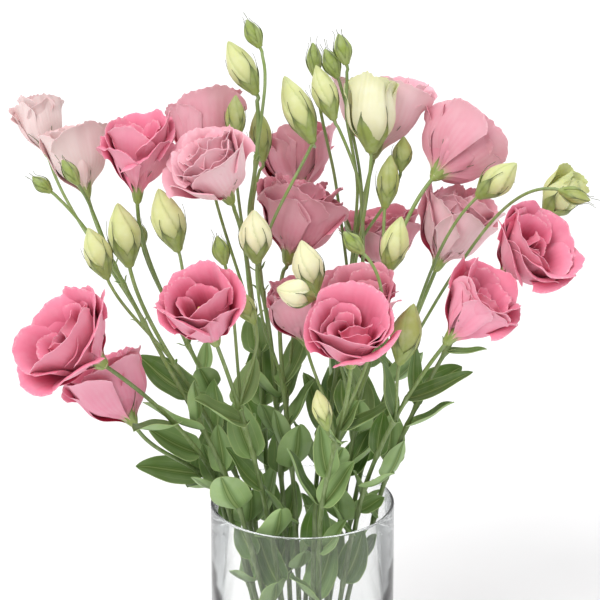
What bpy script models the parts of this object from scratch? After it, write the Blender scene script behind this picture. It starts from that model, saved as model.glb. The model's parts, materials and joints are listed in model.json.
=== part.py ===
"""Cut lisianthus standing in a clear glass cylinder vase.

The origin is the centre of the vase's underside, +Z is up and -Y is the front.
Lengths are in millimetres here and become metres where Blender takes them.

Each cut stem is one grown piece with its forks, leaves and smallest buds. Blooms and
larger buds are pieces of their own, seated on the ends of the forks. The stems stand
on the vase's floor, spread through its mouth, and are settled clear of one another.
"""

import math
from collections import namedtuple
from types import SimpleNamespace

import bmesh
import bpy
import numpy as np
from mathutils import Vector

MM = 0.001
TOUCH_GAP = 0.3

VASE_RADIUS = 75.0
VASE_HEIGHT = 200.0
VASE_WALL = 3.0
VASE_FLOOR = 12.0
VASE_EDGE = 1.2
VASE_INNER_FILLET = 4.0
VASE_FOOT_CHAMFER = 2.0
VASE_STEPS = 40

FOOT_GATHER = 0.32
FOOT_TWIST = math.radians(24.0)
STEM_FOOT_RADIUS = 2.3
STEM_TOP_RADIUS = 1.6
FORK_RADIUS = 1.3
POINT_SPACING = 8.0
HEAD_RUN = 4.0
STEM_PULL = 0.9
HEAD_PULL = 0.8
TUBE_STEP = 2
TUBE_ROUNDING = 1
CLEAR_OF_STEMS = 3.4
CLEAR_OF_HEADS = 4.0
# The narrow neck of a head, which its own stem may touch, and a ball in its middle.
NECK_WIDTH, NECK_LENGTH = 0.15, 0.10
HEART = (0.7, 0.8)
SETTLE_ROUNDS = 200
LARGEST_STEP = 1.2
SETTLE_RANGE = 40.0
SMOOTHING = 0.35

LEAF_THICKNESS = 0.9
LEAF_BOW = 0.09
LEAF_FOLD = 0.28
LEAF_TURNS = (0, 1, -1, 2, -2, 3, -3, 4, -4, 5, -5, 6, -6)
LEAF_SEARCH = [math.radians(turn * 12.0) for turn in LEAF_TURNS]
LEAF_SIZES = (1.0, 0.86, 0.72)
LEAF_OFF_STEMS = 3.2
LEAF_OFF_HEADS = 1.5
LEAF_OFF_LEAVES = 4.0
WALL_COLUMNS = 80
WALL_ROW = 5.0
WALL_FROM = 110.0
LEAF_FULLNESS = 1.35
STEM_WAY_STEP = 6.0
# Pairs of leaves at nodes up each stem: heights, each pair a quarter turn on from the last.
PAIR_HEIGHTS = (128.0, 176.0, 224.0, 256.0, 290.0)
PAIR_STAGGER = 5.0
PAIR_BELOW_HEAD = 45.0
PAIR_TURN = math.radians(137.5)
PAIR_LENGTHS = (52.0, 44.0, 56.0, 40.0, 48.0)
PAIR_RISE = 1.6
PAIR_SHIFT = 0.7
PAIR_WIDTH = 0.56
# Half-width along a leaf, from its foot to its point, as a share of the widest.
LEAF_OUTLINE = ((0.0, 0.10), (0.12, 0.42), (0.34, 0.94), (0.60, 0.92), (0.84, 0.46), (1.0, 0.0))

# Turned outlines from the seat to the middle of the top: how far along the head's
# length, and how far out as a share of its radius.
BLOOM_OUTLINE = (
    (0.00, 0.11), (0.12, 0.17), (0.26, 0.46), (0.46, 0.80),
    (0.68, 0.98), (0.88, 1.00), (1.00, 0.88), (0.92, 0.45), (0.88, 0.0),
)
BUD_OUTLINE = (
    (0.00, 0.22), (0.12, 0.50), (0.34, 0.94), (0.52, 1.00), (0.76, 0.66), (0.95, 0.20), (1.00, 0.0),
)
BLOOM_STEPS = 10
BUD_STEPS = 8

# at is the seat on the stem, aim points out of the flower. fork is how far up its stem,
# from the vase's mouth to the first head, the fork leaves.
Head = namedtuple("Head", "kind tone at aim length radius fork")
Leaf = namedtuple("Leaf", "height tip width")
Stem = namedtuple("Stem", "neck heads leaves")


def bloom(tone, at, aim, length, radius, fork=0.0):
    return Head("bloom", tone, at, aim, length, radius, fork)


def bud(tone, at, aim, length, radius, fork=0.5):
    return Head("bud", tone, at, aim, length, radius, fork)


def tip_bud(tone, at, aim, length, radius, fork=0.5):
    """A bud so small that it is one with its stem."""
    return Head("tip_bud", tone, at, aim, length, radius, fork)


# Each stem: where it passes the vase's mouth, its heads with the one at the top of the
# main stem first, and its leaves by height on the main stem, tip and width.
STEMS = (
    Stem((-47, -47), (
        bloom("pale", (-172, 32, 452), (-0.25, 0.25, 0.93), 58, 24),
        bloom("pale", (-206, 80, 470), (-0.25, 0.45, 0.87), 49, 20, 0.62),
        tip_bud("green", (-200, 12, 463), (-0.78, 0.22, 0.58), 19, 5.5, 0.72),
        tip_bud("green", (-177, -7, 476), (-0.55, 0.20, 0.80), 23, 5.5, 0.78),
    ), (
        Leaf(279, (-126, -37, 305), 20), Leaf(286, (-89, -35, 321), 13), Leaf(322, (-107, 2, 347), 13)
    )),
    Stem((-59, -27), (
        bloom("rose", (-154, -104, 361), (-0.70, -0.30, 0.66), 59, 45),
    ), (
        Leaf(224, (-88, -62, 252), 13),
    )),
    Stem((-66, -4), (
        bloom("rose", (-133, -68, 296), (-0.48, 0.14, 0.86), 58, 31),
    ), (
        Leaf(232, (-134, -22, 242), 18), Leaf(236, (-78, 14, 272), 15)
    )),
    Stem((-46, -12), (
        bud("cream", (-137, -18, 411), (-0.18, 0.24, 0.95), 51, 13),
        bud("cream", (-154, -36, 408), (-0.35, 0.20, 0.92), 42, 11, 0.6),
    ), (
        Leaf(252, (-77, 12, 290), 17),
    )),
    Stem((-43, 14), (
        bloom("rose", (-131, 6, 457), (0.02, 0.00, 0.99), 68, 29),
        bud("cream", (-98, -28, 428), (-0.30, 0.23, 0.93), 51, 13, 0.5),
        tip_bud("green", (-128, 20, 414), (-0.20, 0.35, 0.92), 20, 5, 0.58),
    ), (
        Leaf(306, (-79, 32, 330), 12), Leaf(240, (-70, 46, 272), 17)
    )),
    Stem((-28, 38), (
        bloom("blush", (-56, -25, 467), (-0.45, -0.12, 0.89), 57, 36),
        bloom("dusk", (-75, 66, 464), (-0.13, 0.48, 0.87), 58, 28, 0.45),
        bud("olive", (-54, 46, 495), (0.02, 0.36, 0.93), 36, 8, 0.55),
    ), (
        Leaf(270, (-32, 59, 300), 17), Leaf(321, (-41, 46, 347), 18), Leaf(236, (-48, 78, 262), 18)
    )),
    Stem((-28, -40), (
        bloom("rose", (-67, -97, 376), (-0.24, -0.45, 0.86), 66, 32),
        tip_bud("green", (-61, -46, 423), (-0.27, 0.34, 0.90), 23, 6.5, 0.5),
        bud("olive", (-38, -76, 386), (-0.47, 0.25, 0.85), 28, 8, 0.6),
    ), (
        Leaf(231, (-58, -48, 269), 17), Leaf(231, (-29, -12, 280), 26), Leaf(313, (-38, -42, 344), 16)
    )),
    Stem((-16, 12), (
        bud("cream", (-37, 40, 536), (-0.47, 0.19, 0.86), 47, 11),
        tip_bud("green", (-34, 48, 572), (-0.43, 0.32, 0.84), 24, 6.5, 0.8),
        bud("cream", (8, 40, 495), (-0.39, 0.41, 0.83), 58, 12, 0.55),
        bud("olive", (-32, 68, 470), (-0.10, 0.35, 0.93), 42, 9, 0.5),
    ), (
        Leaf(279, (0, 13, 311), 18),
    )),
    Stem((-6, -14), (
        bloom("dusk", (-12, 28, 397), (0.23, 0.18, 0.96), 66, 40),
        bloom("dusk", (-2, 119, 422), (-0.12, 0.51, 0.85), 56, 32, 0.35),
        bud("ivory", (-36, -46, 425), (-0.05, 0.07, 1.00), 42, 13, 0.5),
    ), (
        Leaf(247, (-21, -10, 286), 16), Leaf(247, (-4, 14, 281), 13)
    )),
    Stem((12, 50), (
        bloom("dusk", (70, 88, 368), (-0.18, 0.10, 0.98), 48, 30),
        bud("cream", (25, 42, 514), (-0.32, 0.34, 0.89), 45, 10, 0.4),
        tip_bud("green", (10, 83, 537), (-0.06, 0.35, 0.93), 27, 6, 0.4),
        tip_bud("green", (28, 63, 542), (-0.41, 0.32, 0.85), 25, 7, 0.4),
    ), (
        Leaf(246, (24, 92, 282), 19), Leaf(300, (4, 88, 340), 16)
    )),
    Stem((16, 24), (
        bloom("blush", (58, 85, 468), (0.13, 0.28, 0.95), 66, 36),
        bud("ivory", (55, 37, 488), (0.04, 0.35, 0.93), 60, 17, 0.5),
        tip_bud("green", (35, 57, 555), (-0.26, 0.34, 0.90), 25, 7, 0.5),
        bud("olive", (79, 51, 468), (0.09, 0.35, 0.93), 27, 8, 0.7),
    ), (
        Leaf(245, (4, 63, 290), 20), Leaf(384, (67, 79, 417), 14), Leaf(400, (43, 78, 428), 14)
    )),
    Stem((34, 2), (
        bloom("dusk", (105, 45, 463), (0.62, 0.60, 0.51), 54, 34),
        bud("olive", (66, 26, 445), (0.11, 0.35, 0.93), 42, 9, 0.6),
        bud("cream", (67, -39, 414), (0.24, 0.22, 0.95), 45, 11, 0.5),
    ), (
        Leaf(169, (3, 4, 196), 19), Leaf(222, (54, 26, 253), 17), Leaf(264, (49, 30, 298), 18)
    )),
    Stem((46, 34), (
        bloom("blush", (109, 62, 379), (0.36, 0.05, 0.93), 68, 35),
        bud("cream", (140, 20, 456), (0.74, 0.05, 0.67), 41, 12, 0.5),
        tip_bud("olive", (204, 3, 467), (0.90, -0.40, -0.18), 26, 6.5, 0.5),
    ), (
        Leaf(236, (78, 66, 268), 18), Leaf(292, (58, 84, 326), 16)
    )),
    Stem((62, -2), (
        bloom("rose", (159, -12, 400), (0.57, -0.39, 0.72), 58, 38),
        bud("cream", (195, 34, 436), (0.67, 0.08, 0.74), 42, 15, 0.6),
    ), (
        Leaf(222, (81, -4, 257), 16), Leaf(222, (112, 2, 260), 24), Leaf(253, (95, -2, 274), 10),
        Leaf(284, (93, 25, 329), 13), Leaf(300, (129, 18, 313), 18), Leaf(331, (148, -2, 336), 10),
        Leaf(331, (126, 14, 339), 12)
    )),
    Stem((14, -58), (
        bloom("rose", (37, -118, 366), (-0.01, -0.41, 0.91), 57, 37),
        tip_bud("green", (46, -99, 452), (-0.66, 0.09, 0.74), 22, 6.5, 0.5),
        bud("cream", (19, -124, 316), (-0.25, 0.28, 0.93), 31, 7.5, 0.5),
    ), (
        Leaf(254, (15, -71, 296), 18), Leaf(302, (42, -96, 328), 11)
    )),
    Stem((10, -34), (
        bloom("dusk", (54, -55, 371), (-0.21, -0.29, 0.93), 47, 33),
        bloom("dusk", (3, -12, 342), (-0.16, 0.16, 0.97), 52, 33, 0.35),
        bud("ivory", (10, -87, 415), (-0.26, 0.16, 0.95), 42, 12, 0.5),
        bud("ivory", (8, -110, 419), (-0.87, -0.34, 0.36), 32, 11, 0.6),
    ), (
        Leaf(289, (32, -17, 315), 14),
    )),
    Stem((44, -34), (
        bloom("rose", (113, -71, 367), (0.59, -0.07, 0.80), 62, 33),
        bud("olive", (76, -78, 352), (0.23, 0.27, 0.94), 48, 12, 0.5),
    ), (
        Leaf(206, (66, -20, 214), 14), Leaf(207, (64, -36, 228), 12), Leaf(261, (66, -24, 290), 13),
        Leaf(315, (133, -57, 339), 13)
    )),
)


# ---------------------------------------------------------------- arrangement


def unit(vector):
    vector = np.asarray(vector, float)
    return vector / np.linalg.norm(vector)


def hermite(start, start_pull, end, end_pull, count):
    """Points of the cubic from start to end that leaves and arrives along the pulls."""
    t = np.linspace(0.0, 1.0, count)[:, None]
    return (
        (2 * t**3 - 3 * t**2 + 1) * start
        + (t**3 - 2 * t**2 + t) * start_pull
        + (3 * t**2 - 2 * t**3) * end
        + (t**3 - t**2) * end_pull
    )


def curve_to_head(start, direction, head):
    end = np.array(head.at, float) - TOUCH_GAP * unit(head.aim)
    reach = np.linalg.norm(end - start)
    count = max(4, round(reach / POINT_SPACING) + 1)
    leaving, arriving = direction * reach * STEM_PULL, unit(head.aim) * reach * HEAD_PULL
    return hermite(start, leaving, end, arriving, count)


def main_chain(number, stem):
    """The main stem: upright off the vase's floor, straight to the mouth, curving to its head."""
    neck = np.array((*stem.neck, VASE_HEIGHT), float)
    cos, sin = math.cos(FOOT_TWIST), math.sin(FOOT_TWIST)
    foot = FOOT_GATHER * np.array((cos * neck[0] - sin * neck[1], sin * neck[0] + cos * neck[1], 0.0))
    foot[2] = VASE_FLOOR + TOUCH_GAP
    first = foot + (0.0, 0.0, POINT_SPACING / 2)
    inside = first + (neck - first) * np.linspace(0.0, 1.0, round(VASE_HEIGHT / POINT_SPACING))[:, None]
    above = curve_to_head(neck, unit(neck - first), stem.heads[0])
    points = np.vstack([foot, inside, above[1:]])
    return SimpleNamespace(
        stem=number, head=stem.heads[0], parent=None, fork=0, points=points, mouth=len(inside),
        radii=np.linspace(STEM_FOOT_RADIUS, STEM_TOP_RADIUS, len(points)),
    )


def fork_chain(number, head, parent):
    """A fork from the main stem to one head, leaving between the stem's way and the head's."""
    above = len(parent.points) - 1 - parent.mouth
    index = parent.mouth + max(1, round(head.fork * above))
    start = parent.points[index]
    along = unit(parent.points[index + 1] - start) if index + 1 < len(parent.points) else unit(head.aim)
    direction = unit(along + unit(np.array(head.at, float) - start))
    points = curve_to_head(start, direction, head)
    return SimpleNamespace(
        stem=number, head=head, parent=parent, fork=index, points=points, mouth=0,
        radii=np.full(len(points), FORK_RADIUS),
    )


def all_chains():
    chains = []
    for number, stem in enumerate(STEMS):
        main = main_chain(number, stem)
        main_index = len(chains)
        chains.append(main)
        for head in stem.heads[1:]:
            chains.append(fork_chain(number, head, main))
            chains[-1].parent_index = main_index
    return chains


def head_balls(head):
    """Balls that fill a head, as rows of x, y, z and radius."""
    outline = BLOOM_OUTLINE if head.kind == "bloom" else BUD_OUTLINE
    full = [(along, out) for along, out in outline if out > NECK_WIDTH and along > NECK_LENGTH]
    at, aim = np.array(head.at, float), unit(head.aim)
    return [(*(at + aim * head.length * along), head.radius * out) for along, out in [*full, HEART]]


def near_pairs(points, others, limit):
    """Index pairs that start out near enough ever to touch, with the distance each must keep."""
    apart = np.linalg.norm(points[:, None] - others[None], axis=2)
    first, second = np.nonzero((limit > 0.0) & (apart < limit + SETTLE_RANGE))
    return first, second, limit[first, second]


def pushes(points, others, pairs):
    """How far each point must move to be clear of the others that it is paired with."""
    first, second, limit = pairs
    apart = points[first] - others[second]
    distance = np.linalg.norm(apart, axis=1) + 1e-6
    apart *= (np.clip(limit - distance, 0.0, None) / distance)[:, None]
    return np.column_stack([np.bincount(first, apart[:, axis], len(points)) for axis in range(3)])


def settle(chains):
    """Push the stems clear of one another and of the heads, by a smooth shift along each.

    The part of a stem that is inside the vase, and the end under its head, stay put.
    """
    sizes = [len(chain.points) for chain in chains]
    starts = np.cumsum([0] + sizes[:-1])
    home = np.concatenate([chain.points for chain in chains])
    radii = np.concatenate([chain.radii for chain in chains])
    stem_of = np.repeat([chain.stem for chain in chains], sizes)
    chain_of = np.repeat(np.arange(len(chains)), sizes)
    free = np.ones(len(home), bool)
    for start, size, chain in zip(starts, sizes, chains):
        free[start : start + chain.mouth + 1] = False
        free[start + size - 1] = False
    reach = radii[:, None] + radii[None] + CLEAR_OF_STEMS
    reach[stem_of[:, None] == stem_of[None]] = 0.0
    balls = [np.array(head_balls(chain.head)) for chain in chains]
    owners = np.repeat(np.arange(len(chains)), [len(rows) for rows in balls])
    balls = np.vstack(balls)
    keep_off = radii[:, None] + balls[None, :, 3] + CLEAR_OF_HEADS
    keep_off[chain_of[:, None] == owners[None]] = 0.0
    stem_pairs = near_pairs(home, home, reach)
    head_pairs = near_pairs(home, balls[:, :3], keep_off)
    shift = np.zeros_like(home)
    for _ in range(SETTLE_ROUNDS):
        now = home + shift
        push = 0.5 * pushes(now, now, stem_pairs) + pushes(now, balls[:, :3], head_pairs)
        size = np.linalg.norm(push, axis=1, keepdims=True)
        push *= np.minimum(1.0, LARGEST_STEP / np.maximum(size, 1e-9))
        shift += push * free[:, None]
        for start, count, chain in zip(starts, sizes, chains):
            part = shift[start : start + count]
            if chain.parent is not None:
                part[0] = shift[starts[chain.parent_index] + chain.fork]
            bend = part[:-2] + part[2:] - 2 * part[1:-1]
            part[1:-1] += SMOOTHING * bend * free[start + 1 : start + count - 1, None]
    for start, size, chain in zip(starts, sizes, chains):
        chain.points = (home + shift)[start : start + size]
    return chains


def turn_about(vector, axis, angle):
    cos, sin = math.cos(angle), math.sin(angle)
    return vector * cos + np.cross(axis, vector) * sin + axis * (axis @ vector) * (1 - cos)


def leaf_surface(foot, tip, stem_way, half_width, along, across):
    """A point of a leaf: along runs 0..1 from foot to tip, across -1..1 from edge to edge."""
    along, across = (np.asarray(share, float)[..., None] for share in (along, across))
    way = tip - foot
    upper = unit(stem_way - unit(way) * (unit(way) @ stem_way))
    side = np.cross(unit(way), upper)
    wide = np.interp(along, *zip(*LEAF_OUTLINE)) * half_width
    lift = -LEAF_BOW * np.linalg.norm(way) * 4 * along * (1 - along) + LEAF_FOLD * wide * across**2
    return foot + way * along + side * wide * across + upper * lift


def leaf_samples(place):
    along, across = np.meshgrid(np.linspace(0.05, 1.0, 9), np.linspace(-1.0, 1.0, 5))
    return leaf_surface(*place, along.ravel(), across.ravel())


def wall_balls():
    """Balls along the vase's wall, where leaves are near it, as rows of x, y, z and radius."""
    middle = VASE_RADIUS - VASE_WALL / 2
    turns = np.linspace(0.0, 2 * math.pi, WALL_COLUMNS, endpoint=False)
    heights = np.arange(VASE_HEIGHT - VASE_EDGE, WALL_FROM, -WALL_ROW)
    return [(middle * math.cos(a), middle * math.sin(a), z, VASE_WALL) for a in turns for z in heights]


def clearance(points, others):
    """The least distance from the points to balls given as rows of x, y, z and radius."""
    if not len(others):
        return math.inf
    apart = np.linalg.norm(points[:, None] - others[None, :, :3], axis=2)
    return float((apart - others[None, :, 3]).min())


def stem_point(main, height):
    """Where a main stem is at this height, and which way it runs there."""
    low, high = (
        np.array([np.interp(z, main.points[:, 2], main.points[:, axis]) for axis in range(3)])
        for z in (height, height + STEM_WAY_STEP)
    )
    return low, unit(high - low)


def near(rows, spot, reach):
    """The balls that a leaf growing from the spot could meet."""
    apart = np.linalg.norm(rows[:, :3] - spot, axis=1)
    return rows[apart - rows[:, 3] < reach]


def find_room(foot, stem_way, wish, half_width, stems, heads, leaves):
    """The leaf turned about its stem, or made smaller, only as far as it must be to hang free."""
    reach = np.linalg.norm(wish) + LEAF_OFF_LEAVES
    limits = [
        (near(stems, foot, reach), LEAF_OFF_STEMS),
        (near(heads, foot, reach), LEAF_OFF_HEADS),
        (near(leaves, foot, reach), LEAF_OFF_LEAVES),
    ]
    for size, turn in ((size, turn) for size in LEAF_SIZES for turn in LEAF_SEARCH):
        tip = foot + turn_about(wish, stem_way, turn) * size
        place = (foot, tip, stem_way, half_width * size)
        points = leaf_samples(place)
        if all(clearance(points, rows) > limit for rows, limit in limits):
            return place, np.column_stack([points, np.zeros(len(points))])
    return None


def leaf_wishes(number, stem, main):
    """The leaves that a stem would carry: those of the table, then a pair at each node height."""
    for leaf in stem.leaves:
        foot, stem_way = stem_point(main, leaf.height)
        yield 0, foot, stem_way, np.array(leaf.tip, float) - foot, leaf.width / 2 * LEAF_FULLNESS
    for node, height in enumerate(PAIR_HEIGHTS):
        height = height + PAIR_STAGGER * (number * 3 % 5 - 2)
        if height > main.points[-1, 2] - PAIR_BELOW_HEAD:
            return
        foot, stem_way = stem_point(main, height)
        turn = PAIR_TURN * number + math.pi / 2 * node
        out = np.cross(stem_way, (math.cos(turn), math.sin(turn), 0.0))
        length = PAIR_LENGTHS[(number + node) % len(PAIR_LENGTHS)]
        for side in (1, -1):
            wish = unit(stem_way * PAIR_RISE + unit(out) * side) * length
            root = foot + stem_way * side * PAIR_SHIFT
            yield 1, root, stem_way, wish, length * PAIR_WIDTH / 2


def place_leaves(chains):
    """Every leaf that finds room, as its stem's number and its place: the table's leaves first."""
    tubes = []
    for chain in chains:
        middle = (chain.points[1:] + chain.points[:-1]) / 2
        radii = np.append(chain.radii, chain.radii[1:])
        tubes.append((chain.stem, np.column_stack([np.vstack([chain.points, middle]), radii])))
    heads = np.array([ball for chain in chains for ball in head_balls(chain.head)] + wall_balls())
    placed, taken = [], np.zeros((0, 4))
    mains = [next(chain for chain in chains if chain.stem == number) for number in range(len(STEMS))]
    for turn_to_grow in (0, 1):
        for number, stem in enumerate(STEMS):
            others = np.vstack([rows for owner, rows in tubes if owner != number])
            for order, foot, stem_way, wish, half_width in leaf_wishes(number, stem, mains[number]):
                if order != turn_to_grow:
                    continue
                found = find_room(foot, stem_way, wish, half_width, others, heads, taken)
                if found:
                    placed.append((number, found[0]))
                    taken = np.vstack([taken, found[1]])
    return placed


# ---------------------------------------------------------------- Blender pieces


def clear_scene():
    for obj in list(bpy.data.objects):
        bpy.data.objects.remove(obj)


def new_collection(name):
    collection = bpy.data.collections.new(name)
    bpy.context.scene.collection.children.link(collection)
    return collection


def principled(name, colour, roughness, **inputs):
    material = bpy.data.materials.new(name)
    material.use_nodes = True
    shader = material.node_tree.nodes["Principled BSDF"]
    shader.inputs["Base Color"].default_value = (*colour, 1.0)
    shader.inputs["Roughness"].default_value = roughness
    shader.inputs["Metallic"].default_value = 0.0
    for label, value in inputs.items():
        shader.inputs[label.replace("_", " ")].default_value = value
    return material


def add_object(name, data, collection, material=None):
    obj = bpy.data.objects.new(name, data)
    collection.objects.link(obj)
    if material is not None:
        data.materials.append(material)
    return obj


def turned(name, outline, steps, collection, material):
    """A solid turned about Z from (out, up) points given from the top down its outer side."""
    mesh = bpy.data.meshes.new(name)
    points = [(out * MM, 0.0, up * MM) for out, up in outline]
    mesh.from_pydata(points, [(i, i + 1) for i in range(len(points) - 1)], [])
    obj = add_object(name, mesh, collection, material)
    screw = obj.modifiers.new("turn", "SCREW")
    screw.steps = screw.render_steps = steps
    screw.use_merge_vertices = True
    screw.merge_threshold = 0.00002
    screw.use_smooth_shade = True
    return obj


def stand_on(obj, head):
    """Seat a turned head at its place, with its Z axis along the head's aim."""
    obj.location = Vector(head.at) * MM
    obj.rotation_mode = "QUATERNION"
    obj.rotation_quaternion = Vector((0, 0, 1)).rotation_difference(Vector(head.aim).normalized())


def head_outline(head, outline):
    """The turned outline of a head, from the middle of its top to the middle of its seat."""
    points = [(out * head.radius, along * head.length) for along, out in reversed(outline)]
    return points + [(0.0, 0.0)]


def tube_mesh(name, points, radii, holder):
    """A closed round tube through the points, as a welded mesh."""
    curve = bpy.data.curves.new(name, "CURVE")
    curve.dimensions = "3D"
    curve.bevel_depth = MM
    curve.bevel_resolution = TUBE_ROUNDING
    curve.use_fill_caps = True
    spline = curve.splines.new("POLY")
    spline.points.add(len(points) - 1)
    for spot, place, radius in zip(spline.points, points, radii):
        spot.co = (*(np.asarray(place) * MM), 1.0)
        spot.radius = radius
    guide = add_object(name + "_curve", curve, holder)
    graph = bpy.context.evaluated_depsgraph_get()
    mesh = bpy.data.meshes.new_from_object(guide.evaluated_get(graph), depsgraph=graph)
    bpy.data.objects.remove(guide)
    shape = bmesh.new()
    shape.from_mesh(mesh)
    bmesh.ops.remove_doubles(shape, verts=shape.verts, dist=0.00001)
    bmesh.ops.recalc_face_normals(shape, faces=shape.faces)
    shape.to_mesh(mesh)
    shape.free()
    mesh.materials.clear()
    return mesh


def thinned(chain):
    """The ends of the straight stretch in the vase, every TUBE_STEP-th point above it, and a
    short straight run under the head, so that the tube's end lies flat to the head's seat."""
    last = len(chain.points) - 1
    keep = [0, 1] if chain.parent is None else [0]
    keep += range(max(chain.mouth, 2), last - 1, TUBE_STEP)
    under_head = chain.points[last] - HEAD_RUN * unit(chain.head.aim)
    points = np.vstack([chain.points[keep], under_head, chain.points[last]])
    return points, np.append(chain.radii[keep], chain.radii[[last, last]])


def swell(points, radii, head):
    """Carry the tube on into a small bud's outline."""
    at, aim = np.array(head.at, float), unit(head.aim)
    for along, out in BUD_OUTLINE[1:]:
        points = np.vstack([points, at + aim * head.length * along])
        radii = np.append(radii, max(head.radius * out, 0.3))
    return points, radii


def union(obj, helper):
    helper.hide_render = True
    helper.display_type = "WIRE"
    join = obj.modifiers.new(helper.name, "BOOLEAN")
    join.operation = "UNION"
    join.solver = "MANIFOLD"
    join.object = helper


def make_vase(collection, glass):
    outer, inner = VASE_RADIUS, VASE_RADIUS - VASE_WALL
    outline = [
        (0.0, VASE_FLOOR),
        (inner - VASE_INNER_FILLET, VASE_FLOOR),
        (inner, VASE_FLOOR + VASE_INNER_FILLET),
        (inner, VASE_HEIGHT - VASE_EDGE),
        (inner + VASE_EDGE, VASE_HEIGHT),
        (outer - VASE_EDGE, VASE_HEIGHT),
        (outer, VASE_HEIGHT - VASE_EDGE),
        (outer, VASE_FOOT_CHAMFER),
        (outer - VASE_FOOT_CHAMFER, 0.0),
        (0.0, 0.0),
    ]
    return turned("vase", outline, VASE_STEPS, collection, glass)


def leaf_object(name, place, holder):
    """A thin bowed leaf with a folded midrib, its foot inside the stem."""
    shape = bmesh.new()
    rows = []
    for along, _ in LEAF_OUTLINE[:-1]:
        rows.append([shape.verts.new(leaf_surface(*place, along, across) * MM) for across in (-1, 0, 1)])
    tip = shape.verts.new(place[1] * MM)
    for low, high in zip(rows, rows[1:]):
        for i in (0, 1):
            shape.faces.new((low[i], low[i + 1], high[i + 1], high[i]))
    for i in (0, 1):
        shape.faces.new((rows[-1][i], rows[-1][i + 1], tip))
    mesh = bpy.data.meshes.new(name)
    shape.to_mesh(mesh)
    shape.free()
    obj = add_object(name, mesh, holder)
    wall = obj.modifiers.new("thickness", "SOLIDIFY")
    wall.thickness = LEAF_THICKNESS * MM
    wall.offset = 0.0
    return obj


def make_stem(number, chains, leaves, collection, helpers, green):
    name = f"stem_{number + 1:02d}"
    obj = None
    for index, chain in enumerate(chain for chain in chains if chain.stem == number):
        points, radii = thinned(chain)
        if chain.head.kind == "tip_bud":
            points, radii = swell(points, radii, chain.head)
        label = name if obj is None else f"{name}_fork_{index}"
        mesh = tube_mesh(label, points, radii, helpers)
        if obj is None:
            obj = add_object(name, mesh, collection, green)
            continue
        union(obj, add_object(label, mesh, helpers))
    own = [place for owner, place in leaves if owner == number]
    for index, place in enumerate(own):
        union(obj, leaf_object(f"{name}_leaf_{index + 1}", place, helpers))


def make_heads(collection, materials):
    counts = {"bloom": 0, "bud": 0}
    settings = {"bloom": (BLOOM_OUTLINE, BLOOM_STEPS), "bud": (BUD_OUTLINE, BUD_STEPS)}
    for stem in STEMS:
        for head in stem.heads:
            if head.kind not in counts:
                continue
            counts[head.kind] += 1
            outline, steps = settings[head.kind]
            name = f"{head.kind}_{counts[head.kind]:02d}"
            obj = turned(name, head_outline(head, outline), steps, collection, materials[head.tone])
            stand_on(obj, head)


def main():
    clear_scene()
    collection = new_collection("lisianthus_bouquet")
    helpers = new_collection("joined_shapes")
    glass = principled("clear_glass", (0.93, 0.96, 0.95), 0.04, Transmission_Weight=0.9, IOR=1.5)
    green = principled("stem_green", (0.20, 0.33, 0.10), 0.5)
    materials = {
        "pale": principled("petal_pale", (0.93, 0.84, 0.82), 0.6),
        "blush": principled("petal_blush", (0.86, 0.56, 0.62), 0.6),
        "rose": principled("petal_rose", (0.75, 0.30, 0.45), 0.6),
        "dusk": principled("petal_dusk", (0.66, 0.34, 0.44), 0.6),
        "ivory": principled("bud_ivory", (0.86, 0.80, 0.62), 0.6),
        "cream": principled("bud_cream", (0.78, 0.78, 0.48), 0.6),
        "olive": principled("bud_olive", (0.42, 0.50, 0.20), 0.6),
    }
    make_vase(collection, glass)
    chains = settle(all_chains())
    leaves = place_leaves(chains)
    for number in range(len(STEMS)):
        make_stem(number, chains, leaves, collection, helpers, green)
    make_heads(collection, materials)


main()
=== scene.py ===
"""Cut lisianthus in a clear glass cylinder vase: petals, buds, leaves, stems and glass.

The origin is the centre of the vase's underside, +Z is up and -Y is the front.
Lengths are in millimetres in the tables and become metres where Blender takes them.

The stems, forks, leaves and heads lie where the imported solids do, so the arrangement is
worked out here from the same table and by the same steps as theirs. Every flower is then
built from its own petals: a sheet leans out of the throat, row by row, from foot to rim.
"""

import functools
import json
import math
from collections import namedtuple
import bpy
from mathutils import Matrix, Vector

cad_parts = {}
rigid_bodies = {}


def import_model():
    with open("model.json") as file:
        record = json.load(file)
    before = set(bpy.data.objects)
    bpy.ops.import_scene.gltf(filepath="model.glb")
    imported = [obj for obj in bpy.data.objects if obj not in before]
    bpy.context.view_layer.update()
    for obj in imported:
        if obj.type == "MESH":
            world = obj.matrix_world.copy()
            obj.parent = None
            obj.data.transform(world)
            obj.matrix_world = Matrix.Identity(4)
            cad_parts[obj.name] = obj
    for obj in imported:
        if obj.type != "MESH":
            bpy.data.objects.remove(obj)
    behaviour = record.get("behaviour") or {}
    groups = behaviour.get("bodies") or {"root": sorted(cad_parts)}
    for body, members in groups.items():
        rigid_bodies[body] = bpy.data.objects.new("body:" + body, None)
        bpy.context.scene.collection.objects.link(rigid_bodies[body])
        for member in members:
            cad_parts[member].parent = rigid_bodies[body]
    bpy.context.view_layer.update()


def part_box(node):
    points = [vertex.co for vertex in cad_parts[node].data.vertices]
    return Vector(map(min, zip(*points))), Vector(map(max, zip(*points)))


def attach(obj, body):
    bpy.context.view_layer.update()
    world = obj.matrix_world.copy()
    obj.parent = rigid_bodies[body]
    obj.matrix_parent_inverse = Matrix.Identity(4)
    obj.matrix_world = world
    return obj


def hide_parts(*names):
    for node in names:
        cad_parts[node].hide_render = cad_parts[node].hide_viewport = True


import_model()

from types import SimpleNamespace

import bpy
import numpy as np
from mathutils import Vector

bl_info = {
    "name": "Lisianthus bouquet",
    "version": (1, 0, 0),
    "blender": (4, 5, 0),
    "location": "View3D > Sidebar > Bouquet",
    "description": "Cut lisianthus in a clear glass vase, built petal by petal",
    "category": "Add Mesh",
}

BODY = "root"
MM = 0.001
VASE_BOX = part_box("vase")

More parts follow.
